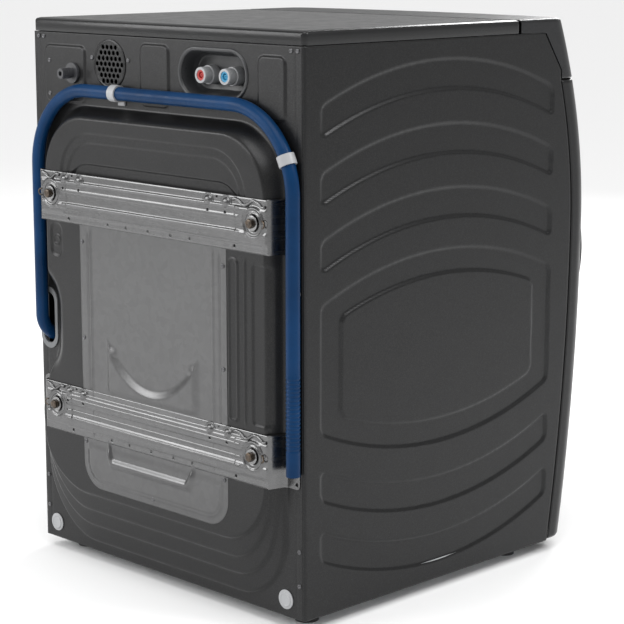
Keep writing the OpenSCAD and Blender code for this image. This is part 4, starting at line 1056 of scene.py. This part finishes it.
def build_front(mats):
    """Front skin with the door opening and the well behind it."""
    us = front_lines()
    vs = grid(2, SEAM_Z - 1, 4.0)

    def place(u, z, p):
        edge = quarter_round(np.minimum(z - 2, SEAM_Z - 1 - z), 2.2)
        lip = 5.0 * smooth(11, 0, np.hypot(u, z - DRUM_Z) - DOOR_HOLE_R) * (np.abs(u) < 300)
        x, y = front_shape(u, z, edge, CHEEK)
        return np.stack([x, y + lip, z], -1)

    def cut(u, z):
        d = np.where(np.abs(u) < FLAT, np.hypot(u, z - DRUM_Z) - DOOR_HOLE_R, 50.0)
        return np.minimum(d, sd_box(u, z, 189, 291, 39, 126, 8))

    front_skin("front_skin", us, vs, no_relief, place, mats["paint"], cut, 1.6, "front_panel")
    well = fillet([(264, -773), (264.3, -749), (193.5, -749), (193.5, -735), (195, -735), (195, -747.2),
                   (266, -747.2), (266, -773)], 2.0)
    drum_ring("door_well", well, mats["paint"], "cabinet", "front_panel")


def build_control(mats):
    """Control panel skin, bent back over its upper edge."""
    z0 = SEAM_Z + 1
    bend_z = 981
    r = 6.0
    us = front_lines()
    face_rows = grid(z0, bend_z, 2.0)
    turn = [bend_z + r * math.pi / 2 * i / 8 for i in range(1, 9)]
    end = turn[-1]
    top_rows = [end + 40 * i / 12 for i in range(1, 13)]
    vs = np.concatenate([face_rows, turn, top_rows])

    def place(u, v, p):
        angle = np.clip((v - bend_z) / (r * math.pi / 2), 0, 1) * math.pi / 2
        z = np.where(v <= bend_z, v, bend_z + r * np.sin(angle))
        inset = r * (1 - np.cos(angle))
        low = 2.0 * (1 - np.clip((v - z0) / 2.0, 0, 1)) ** 2
        back = np.where(z < 893, -661.0, np.where(z < 962.4, -661 + 49 * (z - 893) / 70, -542.0))
        corner = face_y(z) + inset + bow_y(HALF_W - inset) + CORNER_R - inset
        x, y = front_shape(u, z, inset + low, back - corner - low)
        t = np.clip((v - end) / 40, 0, 1)
        y = y + t * (-542 - y)
        return np.stack([x, y, z], -1)

    def cut(u, v):
        d = sd_box(u, v, -323, -141, 889, 951, 8)
        d = np.minimum(d, sd_box(u, v, 66, 206, 898, 938, 8))
        d = np.minimum(d, np.hypot(u, v - KNOB_Z) - 9)
        for x in (306, 256):
            d = np.minimum(d, np.hypot(u - x, v - 916) - 12.7)
        return np.where(v < 975, d, 50.0)

    skin = front_skin("control_skin", us, vs, no_relief, place, mats["trim"], cut, 2.0, "control_panel")
    soft_shade(skin, 50)


def front_skin(name, us, vs, height, place, material, cut, thickness, node, body="cabinet"):
    """Sheet of the front, turned outwards and made thick."""
    obj = relief(name, us, vs, height, place, material, cut, 0, body)
    tidy_normals(obj)
    face_front(obj)
    thicken(obj, thickness)
    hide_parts(node)
    return obj


def skin_piece(name, x, z, material, body, node):
    """Rectangular piece of the front's own surface with round corners and a rounded edge."""
    def place(u, v, p):
        px, py = front_shape(u, v, 0, CHEEK)
        return np.stack([px, py + p, v], -1)

    def cut(u, v):
        return -sd_box(u, v, *x, *z, 8)

    def height(u, v):
        return quarter_round(cut(u, v), 1.4)

    front_skin(name, grid(*x, 2.0), grid(*z, 2.0), height, place, material, cut, 2.5, node, body)


def build_front_pieces(mats):
    """Display, filter flap, drawer with its tray, and the marks of the display."""
    skin_piece("display_glass", (66.3, 205.7), (898.3, 937.7), mats["gloss"], "cabinet", "display_window")
    skin_piece("filter_flap", (190, 290), (40, 125), mats["paint"], "filter_cover", "filter_cover")
    skin_piece("drawer_front", (-322, -142), (890, 950), mats["trim"], "drawer", "detergent_drawer")
    build_tray(mats)
    # round marks of the display, just proud of its surface
    for i, x in enumerate((92, 112, 138, 158, 178)):
        outline = np.array(ngon(x, 918.0, 5.2 if i != 2 else 2.0, 24))
        _, y = front_shape(outline[:, 0], outline[:, 1], 0, CHEEK)
        verts = np.stack([outline[:, 0], y - 0.15, outline[:, 1]], -1)
        mark = add_mesh("display_mark_%d" % i, verts, [tuple(range(len(verts)))], mats["lit"])
        thicken(mark, 0.3)
        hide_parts("display_window")


def build_tray(mats):
    """Two-trough drawer body with rounded floors behind the drawer front."""
    x0, x1 = -318.0, -146.0
    z0, z1 = 893.0, 938.0
    y0, y1 = -706.0, -460.0
    mid = (x0 + x1) / 2 + 20

    def trough(name, a, b):
        outline = round_box(a, b, y0 + 4, y1 - 2, 10, corner=6)
        profile = [(0.0, z1), (0.4, z1 - 1), (1.2, z0 + 12), (3.0, z0 + 6), (8.0, z0 + 2.8), (14, z0 + 2.4)]
        obj = ring_stack(name, outline, profile, mats["plastic"], flat, "drawer")
        tidy_normals(obj)
        thicken(obj, 1.6)
        soft_shade(obj, 50)
        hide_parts("detergent_drawer")

    trough("tray_main", x0 + 2.4, mid - 1.2)
    trough("tray_softener", mid + 1.2, x1 - 2.4)
    outline = round_box(x0, x1, y0, y1, 3, corner=4)
    wall = ring_stack("tray_wall", outline, [(0, z0), (0, z1)], mats["plastic"], flat, "drawer",
                      capped=False)
    thicken(wall, 1.4)
    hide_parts("detergent_drawer")
    cup = fillet([(0.1, 0), (13, 0), (13, 20), (10, 24), (0.1, 24)], 2)
    at = ((mid + x1) / 2, -500, z0 + 4)
    siphon = lathe("tray_siphon", cup, at, "z", mats["plastic"], "drawer", count=40)
    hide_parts("detergent_drawer")


def build_knob(mats):
    """Fluted selector knob on the panel's own slope."""
    n = Vector((0, -1.0, 2 * UPPER_CURVE * (KNOB_Z - FRONT_PEAK_Z))).normalized()
    at = Vector((0, float(face_y(np.array(KNOB_Z))), KNOB_Z))
    side = Vector((1, 0, 0))
    up = n.cross(side)
    if up.z < 0:
        up = -up
    rings = [(30.9, 1.2), (30.9, 4.2), (30.2, 5.6), (28.2, 6.3), (27.0, 7.2), (26.6, 10), (26.2, 20),
             (25.6, 21.8), (24.2, 22.7), (21, 22.9), (18, 22.2), (0.2, 22.0)]
    count = 240
    verts = []
    for i, (r, h) in enumerate(rings):
        for k in range(count):
            a = 2 * math.pi * k / count
            flute = 0.9 * (0.5 + 0.5 * math.cos(a * 36)) if 5 <= i <= 7 else 0.0
            rr = r - flute
            verts.append(at + side * (rr * math.cos(a)) + up * (rr * math.sin(a)) + n * h)
    faces = ring_faces(len(rings), count)
    knob = add_mesh("knob_grip", [tuple(v) for v in verts], faces, mats["knob"], "knob")
    tidy_normals(knob)
    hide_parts("control_knob")
    base = at + n * 22.6 + up * 15.5
    verts = [tuple(base + side * dx + up * dz) for dx, dz in ((-1.1, -5), (1.1, -5), (1.1, 5), (-1.1, 5))]
    mark = add_mesh("knob_mark", verts, [(0, 1, 2, 3)], mats["lit"], "knob")
    thicken(mark, 0.5)
    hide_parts("control_knob")


def build_drum(mats):
    """Drum shell with real holes, its dished back with spokes and its rolled mouth."""
    r, y0, y1 = 274.2, -618.0, -118.0
    rows, cols = 25, 84
    pitch_y = (y1 - y0) / rows
    verts, faces = [], []
    hole = 2.6
    cell_faces = ring_faces(3, 8)
    square = [(-1, -1), (0, -1), (1, -1), (1, 0), (1, 1), (0, 1), (-1, 1), (-1, 0)]
    for i in range(rows):
        for j in range(cols):
            cy = y0 + (i + 0.5) * pitch_y
            ca = (j + (0.5 if i % 2 else 0.0)) * 2 * math.pi / cols
            half_a = math.pi / cols
            base = len(verts)
            for sa, sy in square:
                a, y = ca + sa * half_a, cy + sy * pitch_y / 2
                verts.append((r * math.sin(a), y, DRUM_Z + r * math.cos(a)))
            for rad, deep in ((hole * 1.9, 0.0), (hole, 0.7)):
                for sa, sy in square:
                    size = math.hypot(sa, sy)
                    a = ca + sa / size * rad / r
                    y = cy + sy / size * rad
                    rr = r + deep
                    verts.append((rr * math.sin(a), y, DRUM_Z + rr * math.cos(a)))
            faces += [tuple(base + k for k in face) for face in cell_faces]
    shell = add_mesh("drum_shell", verts, faces, mats["drum"], "drum")
    tidy_normals(shell)
    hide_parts("drum")
    mouth = fillet([(274.3, -616), (274.3, -629.4), (270, -629.9), (182.5, -629.9), (181.2, -628.5),
                    (181.2, -616.5)], 4, closed=False)
    drum_ring("drum_mouth_ring", mouth, mats["drum"], "drum", "drum", closed=False)
    back = fillet([(274.3, -119), (274.3, -112), (268, -110.6), (150, -110.6), (146, -113.4), (60, -113.4),
                   (56, -111), (0.2, -111)], 3, closed=False)
    drum_ring("drum_back", back, mats["drum"], "drum", "drum", closed=False)
    for i, y in enumerate((-500, -240)):
        hoop = fillet([(274.4, y - 8), (276.6, y - 6), (276.6, y - 2), (274.4, y)], 0.8)
        drum_ring("drum_hoop_%d" % i, hoop, mats["drum"], "drum", "drum")
    for i, turn in enumerate((30, 150, 270)):
        lifter(i, math.radians(turn), mats)


def lifter(i, turn, mats):
    """Hollow baffle with a rounded nose and swept ends."""
    base = 35.0
    us = np.linspace(-1, 1, 33)
    vs = np.linspace(0, 1, 61)

    def place(u, v, p):
        end = smooth(0, 0.10, v) * (1 - smooth(0.90, 1.0, v))
        rise = 2.4 + 38.5 * (1 - np.abs(u) ** 1.6) * end
        swing = 5.0 * np.sin(2 * math.pi * v) * (1 - np.abs(u))
        y = -588 + v * 446
        inward = np.sqrt(np.maximum(272.6 ** 2 - (u * base) ** 2, 1)) - rise
        side = u * base + swing
        x = side * math.cos(turn) + inward * math.sin(turn)
        z = -side * math.sin(turn) + inward * math.cos(turn)
        return np.stack([x, y, DRUM_Z + z], -1)

    obj = relief("lifter_%d" % i, us, vs, no_relief, place, mats["white"], None, 0, "drum")
    tidy_normals(obj)
    thicken(obj, 1.4)
    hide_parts("drum_lifters")


def build_gasket(mats):
    """Rubber bellows with a thick sealing lip and two folds."""
    profile = fillet([(186.4, -748.2), (180.4, -753.0), (181.6, -756.2), (194, -756.2), (197.2, -753),
                      (193.4, -749.4), (192.4, -735), (192.4, -700), (192.4, -690.6), (203.8, -690.6),
                      (203.8, -656.6), (196, -656.6), (192.2, -650.6), (189.8, -650.6), (191.6, -660.6),
                      (200, -660.6), (200, -686.8), (188.6, -687.2), (188.6, -700), (188.6, -744)], 2.4)
    drum_ring("gasket_bellows", profile, mats["rubber"], "cabinet", "door_gasket")


def build_cover(mats):
    """Domed outer window: clear middle inside a glossy black border."""
    def outer(r):
        return DOOR_FRONT + 13.8 - 8.6 * (1 - (r / 204.0) ** 2)

    thick = 3.2
    rim = [(204.2, outer(204) + 3.4), (204.2, outer(204) + 0.8)]
    rim += [(r, outer(r)) for r in (203.4, 196, 184, 172, 161, 150)]
    rim += [(r, outer(r) + thick) for r in (150, 172, 196)]
    drum_ring("cover_border", rim, mats["gloss"], "door", "door_cover")
    stops = ((0.2, 0), (40, 40), (80, 80), (120, 120), (150.2, 150))
    pane = [(r, outer(at)) for r, at in stops] + [(r, outer(at) + thick) for r, at in reversed(stops)]
    drum_ring("cover_pane", pane, mats["tinted"], "door", "door_cover", closed=False)


# ---- Finishes ----

# material name, colour, roughness, metal and the rest of surface() for each moulded, coated or metal finish
FINISHES = {
    "lid": ("paint_lid", (0.014, 0.0142, 0.0147), 0.22, 0.0,
        dict(grain=480.0, grain_depth=0.00004, vary=0.08, rough_spread=0.05, specular=0.3)),
    "bolt": ("bolt_steel", (0.085, 0.078, 0.072), 0.34, 0.9,
        dict(grain=500.0, vary=0.35, cloud=90.0, second=(0.10, 0.075, 0.055))),
    "steel": ("bright_steel", (0.24, 0.24, 0.24), 0.26, 1.0, dict(grain=700.0, vary=0.1, cloud=40.0)),
    "screw": ("screw_steel", (0.12, 0.12, 0.125), 0.36, 0.8, dict(grain=700.0, vary=0.2, cloud=60.0)),
    "drum": ("stainless", (0.63, 0.635, 0.64), 0.22, 1.0,
        dict(grain=220.0, grain_depth=0.00003, vary=0.06, cloud=9.0, stretch=(1, 9, 1))),
    "cast": ("cast_aluminium", (0.52, 0.53, 0.54), 0.48, 0.9,
        dict(grain=260.0, grain_depth=0.0003, vary=0.12, cloud=20.0)),
    "motor": ("motor_shell", (0.13, 0.135, 0.14), 0.42, 0.6, dict(grain=300.0, grain_depth=0.0002)),
    "weight": ("weight_concrete", (0.36, 0.35, 0.335), 0.85, 0.0,
        dict(grain=130.0, grain_depth=0.0009, vary=0.22, cloud=18.0)),
    "tub": ("tub_plastic", (0.62, 0.62, 0.60), 0.48, 0.0,
        dict(grain=260.0, grain_depth=0.00018, vary=0.06)),
    "pale": ("pale_plastic", (0.36, 0.365, 0.375), 0.40, 0.0,
        dict(grain=320.0, grain_depth=0.00012, vary=0.07)),
    "white": ("white_plastic", (0.50, 0.50, 0.495), 0.36, 0.0,
        dict(grain=320.0, grain_depth=0.0001, vary=0.05)),
    "plastic": ("dark_plastic", (0.045, 0.046, 0.05), 0.42, 0.0,
        dict(grain=380.0, grain_depth=0.00012, vary=0.15)),
    "gloss": ("black_gloss", (0.006, 0.006, 0.007), 0.07, 0.0,
        dict(grain=60.0, grain_depth=0.00002, vary=0.1, rough_spread=0.03, coat=0.6)),
    "knob": ("knob_metal", (0.55, 0.555, 0.56), 0.25, 0.95,
        dict(grain=500.0, grain_depth=0.00003, vary=0.06)),
    "rubber": ("grey_rubber", (0.16, 0.165, 0.17), 0.62, 0.0,
        dict(grain=200.0, grain_depth=0.0002, vary=0.12)),
    "black_rubber": ("black_rubber", (0.022, 0.022, 0.023), 0.6, 0.0,
        dict(grain=220.0, grain_depth=0.0002, vary=0.2)),
    "hose": ("hose_blue", (0.0025, 0.027, 0.085), 0.36, 0.0,
        dict(grain=160.0, grain_depth=0.00018, vary=0.18, cloud=11.0, second=(0.0032, 0.031, 0.095),
             specular=0.12)),
    "board": ("board_green", (0.02, 0.13, 0.06), 0.38, 0.0,
        dict(grain=420.0, grain_depth=0.00008, vary=0.25, cloud=50.0)),
    "hot": ("hot_red", (0.42, 0.03, 0.025), 0.38, 0.0, dict(grain=320.0, grain_depth=0.0001, vary=0.1)),
    "cold": ("cold_blue", (0.03, 0.24, 0.42), 0.38, 0.0, dict(grain=320.0, grain_depth=0.0001, vary=0.1)),
    "cup": ("recess_plastic", (0.030, 0.031, 0.033), 0.38, 0.0,
        dict(grain=380.0, grain_depth=0.00008, vary=0.12)),
    "mesh_hot": ("screen_hot", (0.30, 0.022, 0.02), 0.45, 0.3,
        dict(grain=900.0, grain_depth=0.0006, vary=0.3, cloud=300.0)),
    "mesh_cold": ("screen_cold", (0.02, 0.19, 0.33), 0.45, 0.3,
        dict(grain=900.0, grain_depth=0.0006, vary=0.3, cloud=300.0)),
    "lit": ("pale_mark", (0.72, 0.74, 0.76), 0.4, 0.0, dict(grain=320.0, grain_depth=0.00002, vary=0.04))}

# finish of each CAD node that keeps its own mesh
NODE_LOOKS = {
    "galv_inner": ("base_frame", "air_duct"),
    "knob": ("control_knob", "power_button", "start_button"),
    "pale": ("dispenser_housing", "pump_filter", "inlet_valve_hot", "inlet_valve_cold", "hose_clips"),
    "plastic": ("detergent_drawer", "door_lock", "blower_wheel", "drain_pump", "inlet_recess",
                "power_gland"),
    "trim": ("door_frame",),
    "glass": ("door_glass",),
    "steel": ("door_hinge", "hinge_pin", "door_hook", "shaft_bearings", "motor_pulley", "tub_springs",
              "blower_motor"),
    "tub": ("tub_front", "tub_rear"),
    "weight": ("counterweights",),
    "cast": ("drum_spider", "drum_pulley", "heat_exchanger"),
    "black_rubber": ("drive_belt", "foot_front_left", "foot_front_right", "foot_rear_left",
                     "foot_rear_right"),
    "motor": ("drive_motor", "tub_dampers"),
    "board": ("main_board",),
    "rubber": ("hose_grommet",)}


def clear(name, color):
    """Clear moulding with a slightly wavy surface."""
    mat, tree, shader = new_material(name)
    shader.inputs["Base Color"].default_value = (*color, 1.0)
    shader.inputs["Roughness"].default_value = 0.03
    shader.inputs["Transmission Weight"].default_value = 1.0
    shader.inputs["IOR"].default_value = 1.48
    bump(tree, shader, noise(tree, texture_coords(tree), 14.0, 2.0), 0.05, 0.0008)
    return mat


def build_materials():
    made = {key: surface(name, color, rough, metal, **more)
            for key, (name, color, rough, metal, more) in FINISHES.items()}
    made["paint"] = cabinet_paint("paint_cabinet", (0.0205, 0.0207, 0.0212))
    made["paint_back"] = cabinet_paint("paint_rear", (0.0235, 0.0235, 0.024))
    made["trim"] = cabinet_paint("paint_trim", (0.030, 0.0305, 0.032))
    made["galv"] = galvanised("zinc_sheet", (0.128, 0.128, 0.129), 0.31)
    made["galv_bright"] = galvanised("zinc_brace", (0.150, 0.150, 0.151), 0.26, 110.0)
    made["galv_inner"] = galvanised("zinc_inner", (0.50, 0.51, 0.52), 0.42, 60.0)
    made["glass"] = clear("door_clear", (0.90, 0.93, 0.93))
    made["tinted"] = clear("door_tinted", (0.42, 0.45, 0.46))
    return made


def dress_nodes(mats):
    """Gives the CAD nodes that keep their own mesh their finish."""
    for look, nodes in NODE_LOOKS.items():
        for node in nodes:
            found = NODES[node]
            for obj in found if isinstance(found, (list, tuple)) else [found]:
                obj.data.materials.clear()
                obj.data.materials.append(mats[look])


MATS = build_materials()
dress_nodes(MATS)
build_stage()
for build in (build_back, build_sides, build_top, build_front, build_control, build_front_pieces, build_knob,
              build_drum, build_gasket, build_cover):
    build(MATS)
